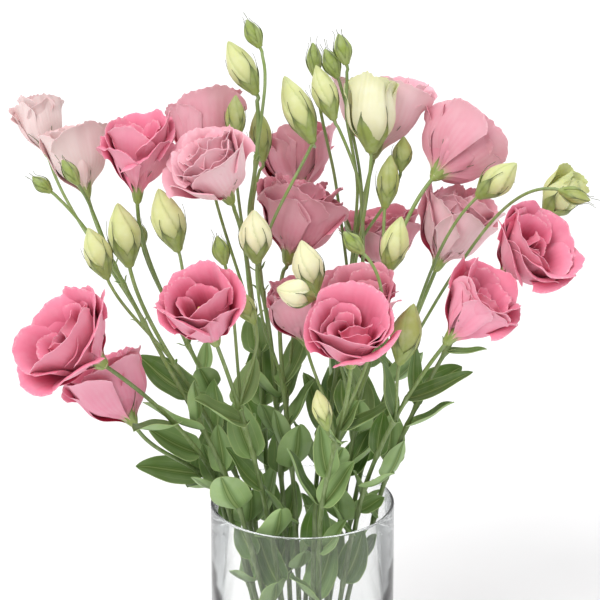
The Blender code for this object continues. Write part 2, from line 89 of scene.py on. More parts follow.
SAME_PLACE = 0.01 * MM
TOUCH_GAP = 0.3
VASE_RADIUS = round(VASE_BOX[1].x / MM, 1)
VASE_HEIGHT = round(VASE_BOX[1].z / MM, 1)
VASE_WALL = 3.0
VASE_FLOOR = 12.0
VASE_EDGE = 1.2
FOOT_GATHER = 0.32
FOOT_TWIST = math.radians(24.0)
STEM_FOOT_RADIUS = 2.3
STEM_TOP_RADIUS = 1.6
FORK_RADIUS = 1.3
POINT_SPACING = 8.0
HEAD_RUN = 4.0
STEM_PULL = 0.9
HEAD_PULL = 0.8
CLEAR_OF_STEMS = 3.4
CLEAR_OF_HEADS = 4.0
# The narrow neck of a head, which its own stem may touch, and a ball in its middle.
NECK_WIDTH, NECK_LENGTH = 0.15, 0.10
HEART = (0.7, 0.8)
SETTLE_ROUNDS = 200
LARGEST_STEP = 1.2
SETTLE_RANGE = 40.0
SMOOTHING = 0.35

LEAF_BOW = 0.09
LEAF_FOLD = 0.28
LEAF_TURNS = (0, 1, -1, 2, -2, 3, -3, 4, -4, 5, -5, 6, -6)
LEAF_SEARCH = [math.radians(turn * 12.0) for turn in LEAF_TURNS]
LEAF_SIZES = (1.0, 0.86, 0.72)
LEAF_OFF_STEMS = 3.2
LEAF_OFF_HEADS = 1.5
LEAF_OFF_LEAVES = 4.0
WALL_COLUMNS = 80
WALL_ROW = 5.0
WALL_FROM = 110.0
LEAF_FULLNESS = 1.35
LEAF_SPAN = (0.05, 1.0)
STEM_WAY_STEP = 6.0
# Pairs of leaves at nodes up each stem: heights, each pair a quarter turn on from the last.
PAIR_HEIGHTS = (128.0, 176.0, 224.0, 256.0, 290.0)
PAIR_STAGGER = 5.0
PAIR_BELOW_HEAD = 45.0
PAIR_TURN = math.radians(137.5)
PAIR_LENGTHS = (52.0, 44.0, 56.0, 40.0, 48.0)
PAIR_RISE = 1.6
PAIR_SHIFT = 0.7
PAIR_WIDTH = 0.56
# Half-width along a leaf, from its foot to its point, as a share of the widest.
LEAF_OUTLINE = ((0.0, 0.10), (0.12, 0.42), (0.34, 0.94), (0.60, 0.92), (0.84, 0.46), (1.0, 0.0))

# Turned outlines from the seat to the middle of the top: how far along the head's
# length, and how far out as a share of its radius.
BLOOM_OUTLINE = (
    (0.00, 0.11), (0.12, 0.17), (0.26, 0.46), (0.46, 0.80),
    (0.68, 0.98), (0.88, 1.00), (1.00, 0.88), (0.92, 0.45), (0.88, 0.0),
)
BUD_OUTLINE = (
    (0.00, 0.22), (0.12, 0.50), (0.34, 0.94), (0.52, 1.00), (0.76, 0.66), (0.95, 0.20), (1.00, 0.0),
)
GLASS_SIDES = 192
INSIDE_ROUNDING, FOOT_ROUNDING, ROUNDING_STEPS = 5 * MM, 2.5 * MM, 4
GLASS_BOUNCES = 14
NODE_REACH = 3.5
SEAT_DEPTH = 1.2
BRACT_WIDTH = 3.0
LEAF_GRID, BRACT_GRID = (21, 11), (9, 5)
LEAF_STATIONS = (0.0, 0.05, 0.18, 0.42, 0.66, 0.85, 0.95, 1.0)
LEAF_WIDTHS = (0.26, 0.62, 0.95, 1.0, 0.82, 0.48, 0.22, 0.0)

LEAF_SEED, BLOOM_SEED, OPENING_SEED, BUD_SEED, CALYX_SEED, PISTIL_SEED = 11, 100, 300, 500, 700, 900

PETAL_ROWS = 20
PETAL_COLUMNS = 31
FOOT_SHARE = 0.10
FLATNESS = 0.30
# How far chance may move a petal: its lean and twist and the wave of its rim in degrees,
# its size and spread as shares, its turn in radians, and how far its rim is frayed.
LEAN_CHANCE, TWIST_CHANCE = 7, 4
RIM_WAVE = (6, 18)
CORNER_FOLD = (0.3, 1.6)
SIZE_CHANCE, SPREAD_CHANCE = (0.90, 1.07), (0.95, 1.05)
TURN_CHANCE, RING_CHANCE, ROLL_CHANCE = 0.13, 0.08, 0.05
FRAY, FINE_FRAY = 0.014, 0.009
BUD_FOLDS, BUD_RELIEF, BUD_BOW = 5, 0.11, 0.05
BUD_STATIONS = (0.0, 0.04, 0.16, 0.34, 0.50, 0.72, 0.88, 0.96, 1.0)
BUD_WIDTHS = (0.0, 0.28, 0.57, 0.91, 1.0, 0.76, 0.38, 0.17, 0.0)
BUD_WIND = 0.16
SEPAL_ROWS, SEPAL_COLUMNS = 15, 5
SEPAL_STATIONS = (0.0, 0.12, 0.32, 0.52, 0.68, 1.0)
SEPAL_WIDTHS = (0.55, 0.95, 1.0, 0.45, 0.08, 0.03)
SEPAL_THICKNESS = 0.25 * MM
SEPAL_THREAD, SEPAL_LIFT = 0.26, 0.8
SEPAL_REACH = {"bloom": 0.40, "bud": 0.66, "tip_bud": 1.15}

FLOOR_RADIUS, FLOOR_SIDES = 9.0, 96
KEY_PLACE, BACK_PLACE, BACK_SHARE = (-1.1, -1.5, 2.1), (1.2, 1.4, 1.7), 0.55
LIGHT_WIDTH = math.radians(32.0)
CAMERA_TARGET = (-0.002, 0.0, 0.3754)
CAMERA_ELEVATION = 20.8
CAMERA_DISTANCE = 3.0
CAMERA_LENS = 225.0
CAMERA_SENSOR = 36.0

# How far a petal leans out from the flower's axis, in degrees, at each station from its
# foot to its rim. 0 points along the axis, 90 straight out, and over 90 rolls back down.
STATIONS = (0.0, 0.14, 0.32, 0.52, 0.72, 0.88, 1.0)

# A whorl is a ring of like petals: how many, its radius and height as shares of the
# flower's, its lean, half its spread in degrees at foot, middle and rim, how far a petal
# slips under its neighbour, how strongly its corners fold back, and its ruffle.
Whorl = namedtuple("Whorl", "count radius height lean spread slip fold ruffle")

OPEN = (
    Whorl(5, 1.00, 0.88, (12, 40, 68, 56, 42, 56, 84), (42, 52, 58), 1.8, 14, 1.4),
    Whorl(4, 0.86, 1.00, (9, 32, 54, 38, 24, 34, 64), (50, 60, 66), 1.8, 16, 1.5),
    Whorl(3, 0.60, 0.92, (6, 24, 40, 22, 6, 14, 46), (56, 68, 72), 1.8, 18, 1.5),
    Whorl(3, 0.32, 0.84, (4, 16, 24, 6, -8, 0, 26), (70, 82, 86), 1.7, 12, 1.2),
)
ROSE = (
    Whorl(5, 1.00, 0.86, (12, 42, 72, 56, 30, 40, 74), (40, 48, 54), 1.8, 18, 1.3),
    Whorl(5, 0.84, 0.95, (8, 32, 54, 32, 14, 26, 60), (42, 52, 56), 1.8, 22, 1.4),
    Whorl(5, 0.64, 1.00, (5, 24, 40, 20, 4, 16, 56), (44, 54, 58), 1.8, 28, 1.6),
    Whorl(5, 0.46, 1.00, (3, 16, 26, 8, -4, 10, 48), (46, 58, 60), 1.7, 30, 1.6),
    Whorl(4, 0.28, 0.98, (2, 10, 16, 2, -8, 4, 36), (58, 70, 72), 1.6, 24, 1.3),
)
HOLLOW = (
    Whorl(5, 1.00, 0.92, (12, 38, 64, 46, 26, 40, 78), (42, 52, 58), 1.8, 14, 1.2),
    Whorl(4, 0.84, 1.00, (8, 32, 52, 28, 10, 22, 62), (48, 60, 66), 1.8, 14, 1.2),
    Whorl(3, 0.58, 0.78, (6, 24, 38, 16, 2, 10, 50), (56, 66, 70), 1.8, 16, 1.1),
)
GOBLET = (
    Whorl(5, 1.00, 1.00, (9, 32, 50, 24, 4, 8, 36), (42, 52, 58), 1.8, 12, 0.9),
    Whorl(4, 0.82, 0.98, (7, 26, 40, 14, -2, 4, 34), (50, 62, 66), 1.7, 16, 1.1),
    Whorl(4, 0.58, 0.95, (5, 18, 28, 8, -6, 0, 28), (54, 64, 66), 1.7, 18, 1.1),
    Whorl(3, 0.34, 0.90, (2, 10, 14, 0, -10, -4, 18), (78, 86, 88), 1.6, 12, 0.8),
)
TULIP = (
    Whorl(3, 1.00, 1.00, (18, 42, 32, 6, -8, -6, 16), (62, 68, 62), 1.2, 8, 0.5),
    Whorl(3, 0.84, 0.99, (16, 36, 28, 2, -12, -12, 4), (64, 72, 70), 1.2, 8, 0.5),
    Whorl(3, 0.56, 0.94, (10, 26, 18, -2, -14, -12, 0), (74, 82, 82), 1.1, 6, 0.4),
)
FORMS = {"open": OPEN, "rose": ROSE, "hollow": HOLLOW, "goblet": GOBLET, "tulip": TULIP}

# at is the seat on the stem, aim points out of the flower. fork is how far up its stem,
# from the vase's mouth to the first head, the fork leaves. form is the flower's make-up
# of whorls, spin turns it about its aim, and fall leans its fallen outer petals back.
Head = namedtuple("Head", "kind tone at aim length radius fork form spin fall fallen")
Leaf = namedtuple("Leaf", "height tip width")
Stem = namedtuple("Stem", "neck heads leaves")


def bloom(tone, at, aim, length, radius, fork=0.0, form="goblet", spin=0, fall=0, fallen=()):
    return Head("bloom", tone, at, aim, length, radius, fork, form, spin, fall, fallen)


def bud(tone, at, aim, length, radius, fork=0.5, form="bud"):
    return Head("bud", tone, at, aim, length, radius, fork, form, 0, 0, ())


def tip_bud(tone, at, aim, length, radius, fork=0.5):
    """A bud so small that it is one with its stem."""
    return Head("tip_bud", tone, at, aim, length, radius, fork, "bud", 0, 0, ())


# Each stem: where it passes the vase's mouth, its heads with the one at the top of the
# main stem first, and its leaves by height on the main stem, tip and width.
STEMS = (
    Stem((-47, -47), (
        bloom("pale", (-172, 32, 452), (-0.25, 0.25, 0.93), 58, 24),
        bloom("pale", (-206, 80, 470), (-0.25, 0.45, 0.87), 49, 20, 0.62),
        tip_bud("green", (-200, 12, 463), (-0.78, 0.22, 0.58), 19, 5.5, 0.72),
        tip_bud("green", (-177, -7, 476), (-0.55, 0.20, 0.80), 23, 5.5, 0.78),
    ), (
        Leaf(279, (-126, -37, 305), 20), Leaf(286, (-89, -35, 321), 13),
        Leaf(322, (-107, 2, 347), 13),
    )),
    Stem((-59, -27), (
        bloom(
            "rose", (-154, -104, 361), (-0.70, -0.30, 0.66), 59, 45,
            form="open", spin=-110, fall=12, fallen=(0, 1),
        ),
    ), (
        Leaf(224, (-88, -62, 252), 13),
    )),
    Stem((-66, -4), (
        bloom("rose", (-133, -68, 296), (-0.48, 0.14, 0.86), 58, 31),
    ), (
        Leaf(232, (-134, -22, 242), 18), Leaf(236, (-78, 14, 272), 15)
    )),
    Stem((-46, -12), (
        bud("cream", (-137, -18, 411), (-0.18, 0.24, 0.95), 51, 13),
        bud("cream", (-154, -36, 408), (-0.35, 0.20, 0.92), 42, 11, 0.6),
    ), (
        Leaf(252, (-77, 12, 290), 17),
    )),
    Stem((-43, 14), (
        bloom("rose", (-131, 6, 457), (0.02, 0.0, 0.99), 68, 29, form="open", spin=-70),
        bud("cream", (-98, -28, 428), (-0.30, 0.23, 0.93), 51, 13, 0.5),
        tip_bud("green", (-128, 20, 414), (-0.20, 0.35, 0.92), 20, 5, 0.58),
    ), (
        Leaf(306, (-79, 32, 330), 12), Leaf(240, (-70, 46, 272), 17)
    )),
    Stem((-28, 38), (
        bloom("blush", (-56, -25, 467), (-0.45, -0.12, 0.89), 57, 36, form="rose"),
        bloom("dusk", (-75, 66, 464), (-0.13, 0.48, 0.87), 58, 28, 0.45),
        bud("olive", (-54, 46, 495), (0.02, 0.36, 0.93), 36, 8, 0.55),
    ), (
        Leaf(270, (-32, 59, 300), 17), Leaf(321, (-41, 46, 347), 18), Leaf(236, (-48, 78, 262), 18)
    )),
    Stem((-28, -40), (
        bloom("rose", (-67, -97, 376), (-0.24, -0.45, 0.86), 66, 32, form="hollow"),
        tip_bud("green", (-61, -46, 423), (-0.27, 0.34, 0.90), 23, 6.5, 0.5),
        bud("olive", (-38, -76, 386), (-0.47, 0.25, 0.85), 28, 8, 0.6),
    ), (
        Leaf(231, (-58, -48, 269), 17), Leaf(231, (-29, -12, 280), 26),
        Leaf(313, (-38, -42, 344), 16),
    )),
    Stem((-16, 12), (
        bud("cream", (-37, 40, 536), (-0.47, 0.19, 0.86), 47, 11),
        tip_bud("green", (-34, 48, 572), (-0.43, 0.32, 0.84), 24, 6.5, 0.8),
        bud("cream", (8, 40, 495), (-0.39, 0.41, 0.83), 58, 12, 0.55),
        bud("olive", (-32, 68, 470), (-0.10, 0.35, 0.93), 42, 9, 0.5),
    ), (
        Leaf(279, (0, 13, 311), 18),
    )),
    Stem((-6, -14), (
        bloom("dusk", (-12, 28, 397), (0.23, 0.18, 0.96), 66, 40, form="rose"),
        bloom("dusk", (-2, 119, 422), (-0.12, 0.51, 0.85), 56, 32, 0.35),
        bud("ivory", (-36, -46, 425), (-0.05, 0.07, 1.00), 42, 13, 0.5),
    ), (
        Leaf(247, (-21, -10, 286), 16), Leaf(247, (-4, 14, 281), 13)
    )),
    Stem((12, 50), (
        bloom("dusk", (70, 88, 368), (-0.18, 0.10, 0.98), 48, 30),
        bud("cream", (25, 42, 514), (-0.32, 0.34, 0.89), 45, 10, 0.4),
        tip_bud("green", (10, 83, 537), (-0.06, 0.35, 0.93), 27, 6, 0.4),
        tip_bud("green", (28, 63, 542), (-0.41, 0.32, 0.85), 25, 7, 0.4),
    ), (
        Leaf(246, (24, 92, 282), 19), Leaf(300, (4, 88, 340), 16)
    )),
    Stem((16, 24), (
        bloom("blush", (58, 85, 468), (0.13, 0.28, 0.95), 66, 36),
        bud("ivory", (55, 37, 488), (0.04, 0.35, 0.93), 60, 17, 0.5, form="tulip"),
        tip_bud("green", (35, 57, 555), (-0.26, 0.34, 0.90), 25, 7, 0.5),
        bud("olive", (79, 51, 468), (0.09, 0.35, 0.93), 27, 8, 0.7),
    ), (
        Leaf(245, (4, 63, 290), 20), Leaf(384, (67, 79, 417), 14), Leaf(400, (43, 78, 428), 14)
    )),
    Stem((34, 2), (
        bloom("dusk", (105, 45, 463), (0.62, 0.60, 0.51), 54, 34),
        bud("olive", (66, 26, 445), (0.11, 0.35, 0.93), 42, 9, 0.6),
        bud("cream", (67, -39, 414), (0.24, 0.22, 0.95), 45, 11, 0.5),
    ), (
        Leaf(169, (3, 4, 196), 19), Leaf(222, (54, 26, 253), 17), Leaf(264, (49, 30, 298), 18)
    )),
    Stem((46, 34), (
        bloom("blush", (109, 62, 379), (0.36, 0.05, 0.93), 68, 35, form="rose"),
        bud("cream", (140, 20, 456), (0.74, 0.05, 0.67), 41, 12, 0.5),
        tip_bud("olive", (204, 3, 467), (0.90, -0.40, -0.18), 26, 6.5, 0.5),
    ), (
        Leaf(236, (78, 66, 268), 18), Leaf(292, (58, 84, 326), 16)
    )),
    Stem((62, -2), (
        bloom("rose", (159, -12, 400), (0.57, -0.39, 0.72), 58, 38, form="open", spin=-90),
        bud("cream", (195, 34, 436), (0.67, 0.08, 0.74), 42, 15, 0.6, form="tulip"),
    ), (
        Leaf(222, (81, -4, 257), 16), Leaf(222, (112, 2, 260), 24), Leaf(253, (95, -2, 274), 10),
        Leaf(284, (93, 25, 329), 13), Leaf(300, (129, 18, 313), 18), Leaf(331, (148, -2, 336), 10),
        Leaf(331, (126, 14, 339), 12)
    )),
    Stem((14, -58), (
        bloom("rose", (37, -118, 366), (-0.01, -0.41, 0.91), 57, 37, form="open", spin=-54),
        tip_bud("green", (46, -99, 452), (-0.66, 0.09, 0.74), 22, 6.5, 0.5),
        bud("cream", (19, -124, 316), (-0.25, 0.28, 0.93), 31, 7.5, 0.5),
    ), (
        Leaf(254, (15, -71, 296), 18), Leaf(302, (42, -96, 328), 11)
    )),
    Stem((10, -34), (
        bloom("dusk", (54, -55, 371), (-0.21, -0.29, 0.93), 47, 33, form="hollow"),
        bloom("dusk", (3, -12, 342), (-0.16, 0.16, 0.97), 52, 33, 0.35),
        bud("ivory", (10, -87, 415), (-0.26, 0.16, 0.95), 42, 12, 0.5),
        bud("ivory", (8, -110, 419), (-0.87, -0.34, 0.36), 32, 11, 0.6),
    ), (
        Leaf(289, (32, -17, 315), 14),
    )),
    Stem((44, -34), (
        bloom("rose", (113, -71, 367), (0.59, -0.07, 0.80), 62, 33, form="open", spin=-140),
        bud("olive", (76, -78, 352), (0.23, 0.27, 0.94), 48, 12, 0.5),
    ), (
        Leaf(206, (66, -20, 214), 14), Leaf(207, (64, -36, 228), 12), Leaf(261, (66, -24, 290), 13),
        Leaf(315, (133, -57, 339), 13)
    )),
)


# ---------------------------------------------------------------- arrangement


def unit(vector):
    vector = np.asarray(vector, float)
    return vector / np.linalg.norm(vector)


def hermite(start, start_pull, end, end_pull, count):
    """Points of the cubic from start to end that leaves and arrives along the pulls."""
    t = np.linspace(0.0, 1.0, count)[:, None]
    return (
        (2 * t**3 - 3 * t**2 + 1) * start
        + (t**3 - 2 * t**2 + t) * start_pull
        + (3 * t**2 - 2 * t**3) * end
        + (t**3 - t**2) * end_pull
    )


def curve_to_head(start, direction, head):
    end = np.array(head.at, float) - TOUCH_GAP * unit(head.aim)
    reach = np.linalg.norm(end - start)
    count = max(4, round(reach / POINT_SPACING) + 1)
    leaving, arriving = direction * reach * STEM_PULL, unit(head.aim) * reach * HEAD_PULL
    return hermite(start, leaving, end, arriving, count)


def main_chain(number, stem):
    """The main stem: upright off the vase's floor, straight to the mouth, curving to its head."""
    neck = np.array((*stem.neck, VASE_HEIGHT), float)
    cos, sin = math.cos(FOOT_TWIST), math.sin(FOOT_TWIST)
    turned = (cos * neck[0] - sin * neck[1], sin * neck[0] + cos * neck[1], 0.0)
    foot = FOOT_GATHER * np.array(turned)
    foot[2] = VASE_FLOOR + TOUCH_GAP
    first = foot + (0.0, 0.0, POINT_SPACING / 2)
    steps = np.linspace(0.0, 1.0, round(VASE_HEIGHT / POINT_SPACING))[:, None]
    inside = first + (neck - first) * steps
    above = curve_to_head(neck, unit(neck - first), stem.heads[0])
    points = np.vstack([foot, inside, above[1:]])
    return SimpleNamespace(
        stem=number, head=stem.heads[0], parent=None, fork=0, points=points, mouth=len(inside),
        radii=np.linspace(STEM_FOOT_RADIUS, STEM_TOP_RADIUS, len(points)),
    )


def fork_chain(number, head, parent):
    """A fork from the main stem to one head, leaving between the stem's way and the head's."""
    above = len(parent.points) - 1 - parent.mouth
    index = parent.mouth + max(1, round(head.fork * above))
    start = parent.points[index]
    last = index + 1 == len(parent.points)
    along = unit(head.aim) if last else unit(parent.points[index + 1] - start)
    direction = unit(along + unit(np.array(head.at, float) - start))
    points = curve_to_head(start, direction, head)
    return SimpleNamespace(
        stem=number, head=head, parent=parent, fork=index, points=points, mouth=0,
        radii=np.full(len(points), FORK_RADIUS),
    )


def all_chains():
    chains = []
    for number, stem in enumerate(STEMS):
        main = main_chain(number, stem)
        main_index = len(chains)
        chains.append(main)
        for head in stem.heads[1:]:
            chains.append(fork_chain(number, head, main))
            chains[-1].parent_index = main_index
    return chains


def head_balls(head):
    """Balls that fill a head, as rows of x, y, z and radius."""
    outline = BLOOM_OUTLINE if head.kind == "bloom" else BUD_OUTLINE
    full = [(along, out) for along, out in outline if out > NECK_WIDTH and along > NECK_LENGTH]
    at, aim = np.array(head.at, float), unit(head.aim)
    return [(*(at + aim * head.length * along), head.radius * out) for along, out in [*full, HEART]]


def near_pairs(points, others, limit):
    """Index pairs that start out near enough ever to touch, with the distance each must keep."""
    apart = np.linalg.norm(points[:, None] - others[None], axis=2)
    first, second = np.nonzero((limit > 0.0) & (apart < limit + SETTLE_RANGE))
    return first, second, limit[first, second]


def pushes(points, others, pairs):
    """How far each point must move to be clear of the others that it is paired with."""
    first, second, limit = pairs
    apart = points[first] - others[second]
    distance = np.linalg.norm(apart, axis=1) + 1e-6
    apart *= (np.clip(limit - distance, 0.0, None) / distance)[:, None]
    return np.column_stack([np.bincount(first, apart[:, axis], len(points)) for axis in range(3)])


def settle(chains):
    """Push the stems clear of one another and of the heads, by a smooth shift along each.

    The part of a stem that is inside the vase, and the end under its head, stay put.
    """
    sizes = [len(chain.points) for chain in chains]
    starts = np.cumsum([0] + sizes[:-1])
    home = np.concatenate([chain.points for chain in chains])
    radii = np.concatenate([chain.radii for chain in chains])
    stem_of = np.repeat([chain.stem for chain in chains], sizes)
    chain_of = np.repeat(np.arange(len(chains)), sizes)
    free = np.ones(len(home), bool)
    for start, size, chain in zip(starts, sizes, chains):
        free[start : start + chain.mouth + 1] = False
        free[start + size - 1] = False
    reach = radii[:, None] + radii[None] + CLEAR_OF_STEMS
    reach[stem_of[:, None] == stem_of[None]] = 0.0
    balls = [np.array(head_balls(chain.head)) for chain in chains]
    owners = np.repeat(np.arange(len(chains)), [len(rows) for rows in balls])
    balls = np.vstack(balls)
    keep_off = radii[:, None] + balls[None, :, 3] + CLEAR_OF_HEADS
    keep_off[chain_of[:, None] == owners[None]] = 0.0
    stem_pairs = near_pairs(home, home, reach)
    head_pairs = near_pairs(home, balls[:, :3], keep_off)
    shift = np.zeros_like(home)
    for _ in range(SETTLE_ROUNDS):
        now = home + shift
        push = 0.5 * pushes(now, now, stem_pairs) + pushes(now, balls[:, :3], head_pairs)
        size = np.linalg.norm(push, axis=1, keepdims=True)
        push *= np.minimum(1.0, LARGEST_STEP / np.maximum(size, 1e-9))
        shift += push * free[:, None]
        for start, count, chain in zip(starts, sizes, chains):
            part = shift[start : start + count]
            if chain.parent is not None:
                part[0] = shift[starts[chain.parent_index] + chain.fork]
            bend = part[:-2] + part[2:] - 2 * part[1:-1]
            part[1:-1] += SMOOTHING * bend * free[start + 1 : start + count - 1, None]
    for start, size, chain in zip(starts, sizes, chains):
        chain.points = (home + shift)[start : start + size]
    return chains


def turn_about(vector, axis, angle):
    cos, sin = math.cos(angle), math.sin(angle)
    return vector * cos + np.cross(axis, vector) * sin + axis * (axis @ vector) * (1 - cos)


def leaf_surface(foot, tip, stem_way, half_width, along, across):
    """A point of a leaf: along runs 0..1 from foot to tip, across -1..1 from edge to edge."""
    along, across = (np.asarray(share, float)[..., None] for share in (along, across))
    way = tip - foot
    upper = unit(stem_way - unit(way) * (unit(way) @ stem_way))
    side = np.cross(unit(way), upper)
    wide = np.interp(along, *zip(*LEAF_OUTLINE)) * half_width
    lift = -LEAF_BOW * np.linalg.norm(way) * 4 * along * (1 - along) + LEAF_FOLD * wide * across**2
    return foot + way * along + side * wide * across + upper * lift


def leaf_samples(place):
    """Points all over a leaf, by which its room is judged."""
    along, across = np.meshgrid(np.linspace(*LEAF_SPAN, 9), np.linspace(-1.0, 1.0, 5))
    return leaf_surface(*place, along.ravel(), across.ravel())


def wall_balls():
    """Balls along the vase's wall, where leaves are near it, as rows of x, y, z and radius."""
    middle = VASE_RADIUS - VASE_WALL / 2
    turns = np.linspace(0.0, 2 * math.pi, WALL_COLUMNS, endpoint=False)
    heights = np.arange(VASE_HEIGHT - VASE_EDGE, WALL_FROM, -WALL_ROW)
    return [
        (middle * math.cos(turn), middle * math.sin(turn), height, VASE_WALL)
        for turn in turns for height in heights
    ]


def clearance(points, others):
    """The least distance from the points to balls given as rows of x, y, z and radius."""
    if not len(others):
        return math.inf
    apart = np.linalg.norm(points[:, None] - others[None, :, :3], axis=2)
    return float((apart - others[None, :, 3]).min())


def stem_point(main, height):
    """Where a main stem is at this height, and which way it runs there."""
    low, high = (
        np.array([np.interp(z, main.points[:, 2], main.points[:, axis]) for axis in range(3)])
        for z in (height, height + STEM_WAY_STEP)
    )
    return low, unit(high - low)


def near(rows, spot, reach):
    """The balls that a leaf growing from the spot could meet."""
    apart = np.linalg.norm(rows[:, :3] - spot, axis=1)
    return rows[apart - rows[:, 3] < reach]


def find_room(foot, stem_way, wish, half_width, stems, heads, leaves):
    """The leaf turned about its stem, or made smaller, only as far as it must be to hang free."""
    reach = np.linalg.norm(wish) + LEAF_OFF_LEAVES
    limits = [
        (near(stems, foot, reach), LEAF_OFF_STEMS),
        (near(heads, foot, reach), LEAF_OFF_HEADS),
        (near(leaves, foot, reach), LEAF_OFF_LEAVES),
    ]
    for size, turn in ((size, turn) for size in LEAF_SIZES for turn in LEAF_SEARCH):
        tip = foot + turn_about(wish, stem_way, turn) * size
        place = (foot, tip, stem_way, half_width * size)
        points = leaf_samples(place)
        if all(clearance(points, rows) > limit for rows, limit in limits):
            return place, np.column_stack([points, np.zeros(len(points))])
    return None


def leaf_wishes(number, stem, main):
    """The leaves that a stem would carry: those of the table, then a pair at each node height."""
    for leaf in stem.leaves:
        foot, stem_way = stem_point(main, leaf.height)
        yield 0, foot, stem_way, np.array(leaf.tip, float) - foot, leaf.width / 2 * LEAF_FULLNESS
    for node, height in enumerate(PAIR_HEIGHTS):
        height = height + PAIR_STAGGER * (number * 3 % 5 - 2)
        if height > main.points[-1, 2] - PAIR_BELOW_HEAD:
            return
        foot, stem_way = stem_point(main, height)
        turn = PAIR_TURN * number + math.pi / 2 * node
        out = np.cross(stem_way, (math.cos(turn), math.sin(turn), 0.0))
        length = PAIR_LENGTHS[(number + node) % len(PAIR_LENGTHS)]
        for side in (1, -1):
            wish = unit(stem_way * PAIR_RISE + unit(out) * side) * length
            root = foot + stem_way * side * PAIR_SHIFT
            yield 1, root, stem_way, wish, length * PAIR_WIDTH / 2


def place_leaves(chains):
    """Every leaf that finds room, as its stem's number and its place: the table's leaves first."""
    tubes = []
    for chain in chains:
        middle = (chain.points[1:] + chain.points[:-1]) / 2
        radii = np.append(chain.radii, chain.radii[1:])
        tubes.append((chain.stem, np.column_stack([np.vstack([chain.points, middle]), radii])))
    heads = np.array([ball for chain in chains for ball in head_balls(chain.head)] + wall_balls())
    placed, taken = [], np.zeros((0, 4))
    mains = [chain for chain in chains if chain.parent is None]
    for turn_to_grow in (0, 1):
        for number, stem in enumerate(STEMS):
            others = np.vstack([rows for owner, rows in tubes if owner != number])
            for order, foot, stem_way, wish, half_width in leaf_wishes(number, stem, mains[number]):
                if order != turn_to_grow:
                    continue
                found = find_room(foot, stem_way, wish, half_width, others, heads, taken)
                if found:
                    placed.append((number, found[0]))
                    taken = np.vstack([taken, found[1]])
    return placed


# ---------------------------------------------------------------- settings


def length_setting(label, text, default):
    return bpy.props.FloatProperty(
        name=label, description=text, default=default * MM, min=0.0, unit="LENGTH", precision=4
    )


def colour_setting(label, text, default):
    return bpy.props.FloatVectorProperty(
        name=label, description=text, default=default, size=3, min=0.0, max=1.0, subtype="COLOR"
    )


def strength_setting(label, text, default):
    return bpy.props.FloatProperty(
        name=label, description=text, default=default, min=0.0, subtype="FACTOR"
    )


class VaseSettings(bpy.types.PropertyGroup):
    radius: length_setting("Radius", "Outer radius of the glass cylinder", VASE_RADIUS)
    height: length_setting("Height", "Height of the glass cylinder", VASE_HEIGHT)
    wall: length_setting("Wall", "Thickness of the glass wall", VASE_WALL)
    floor: length_setting("Base", "Thickness of the glass base", VASE_FLOOR)
    rim: length_setting("Rim rounding", "Radius of the fire-polished rim", VASE_EDGE)
    tint: colour_setting("Tint", "Colour of the glass", (0.985, 0.994, 0.992))


class StemSettings(bpy.types.PropertyGroup):
    young: colour_setting("Young green", "Stem colour near the flowers", (0.22, 0.31, 0.085))
    old: colour_setting("Old green", "Stem colour near the cut foot", (0.085, 0.13, 0.04))
    swelling: length_setting("Swelling", "How far a stem swells where leaves and forks leave", 0.8)


class LeafSettings(bpy.types.PropertyGroup):
    thickness: length_setting("Thickness", "Thickness of a leaf blade", 0.4)
    # The upper face's green is dark like a shaded leaf as painted shade; leaf_finish lightens it at
    # random, leaf by leaf.
    upper: colour_setting("Upper face", "Colour of the waxy upper face", (0.080, 0.165, 0.022))
    under: colour_setting("Underside", "Colour of the paler underside", (0.29, 0.43, 0.16))
    vein: colour_setting("Midrib", "Colour of the midrib and side veins", (0.40, 0.50, 0.20))


class PetalSettings(bpy.types.PropertyGroup):
    thickness: length_setting("Thickness", "Thickness of a petal", 0.35)
    ruffle: strength_setting("Ruffle", "How strongly the rims wave", 1.0)
    rose: colour_setting("Rose inside", "Inner face of rose flowers", (0.82, 0.120, 0.250))
    rose_back: colour_setting("Rose outside", "Outer face of rose flowers", (0.82, 0.32, 0.43))
    blush: colour_setting("Blush inside", "Inner face of blush flowers", (0.84, 0.26, 0.37))
    blush_back: colour_setting("Blush outside", "Outer face of blush flowers", (0.86, 0.58, 0.62))
    # The dusk colours are the rose colours darkened: painted shade for the blooms set back and low
    # in the bouquet.
    dusk: colour_setting("Dusk inside", "Inner face of dusky flowers", (0.69, 0.14, 0.23))
    dusk_back: colour_setting("Dusk outside", "Outer face of dusky flowers", (0.70, 0.31, 0.38))
    pale: colour_setting("Pale inside", "Inner face of pale flowers", (0.78, 0.44, 0.45))
    pale_back: colour_setting("Pale outside", "Outer face of pale flowers", (0.76, 0.60, 0.58))
    # The throat colour is partly the flower's own deeper throat and partly painted shade deep in
    # the cup.
    throat_and_shade: colour_setting("Throat", "Deepest colour, at the foot of a petal", (0.32, 0.004, 0.035))
    rim: colour_setting("Rim", "Thin bleached rim of each petal", (0.92, 0.66, 0.70))
    foot: colour_setting("Foot", "Greenish outer foot of each petal", (0.50, 0.52, 0.26))


class BudSettings(bpy.types.PropertyGroup):
    ivory: colour_setting("Ivory", "Buds about to open", (0.77, 0.75, 0.47))
    cream: colour_setting("Cream", "Half-grown buds", (0.62, 0.65, 0.29))
    olive: colour_setting("Olive", "Young buds", (0.36, 0.40, 0.12))
    green: colour_setting("Green", "Smallest buds and receptacles", (0.26, 0.335, 0.070))
    sepal: colour_setting("Sepal", "Thread tips of the sepals", (0.10, 0.125, 0.045))
    pollen: colour_setting("Pollen", "Anthers and stigma", (0.72, 0.62, 0.14))


class StageSettings(bpy.types.PropertyGroup):
    floor: colour_setting("Floor", "Colour of the floor", (0.84, 0.84, 0.845))
    sky: strength_setting("Surroundings", "Strength of the soft light all round", 0.80)
    key: strength_setting("Key light", "Strength of the wide soft light", 1.7)


def settings(name):
    return getattr(bpy.context.scene, "bouquet_" + name)


# ---------------------------------------------------------------- materials


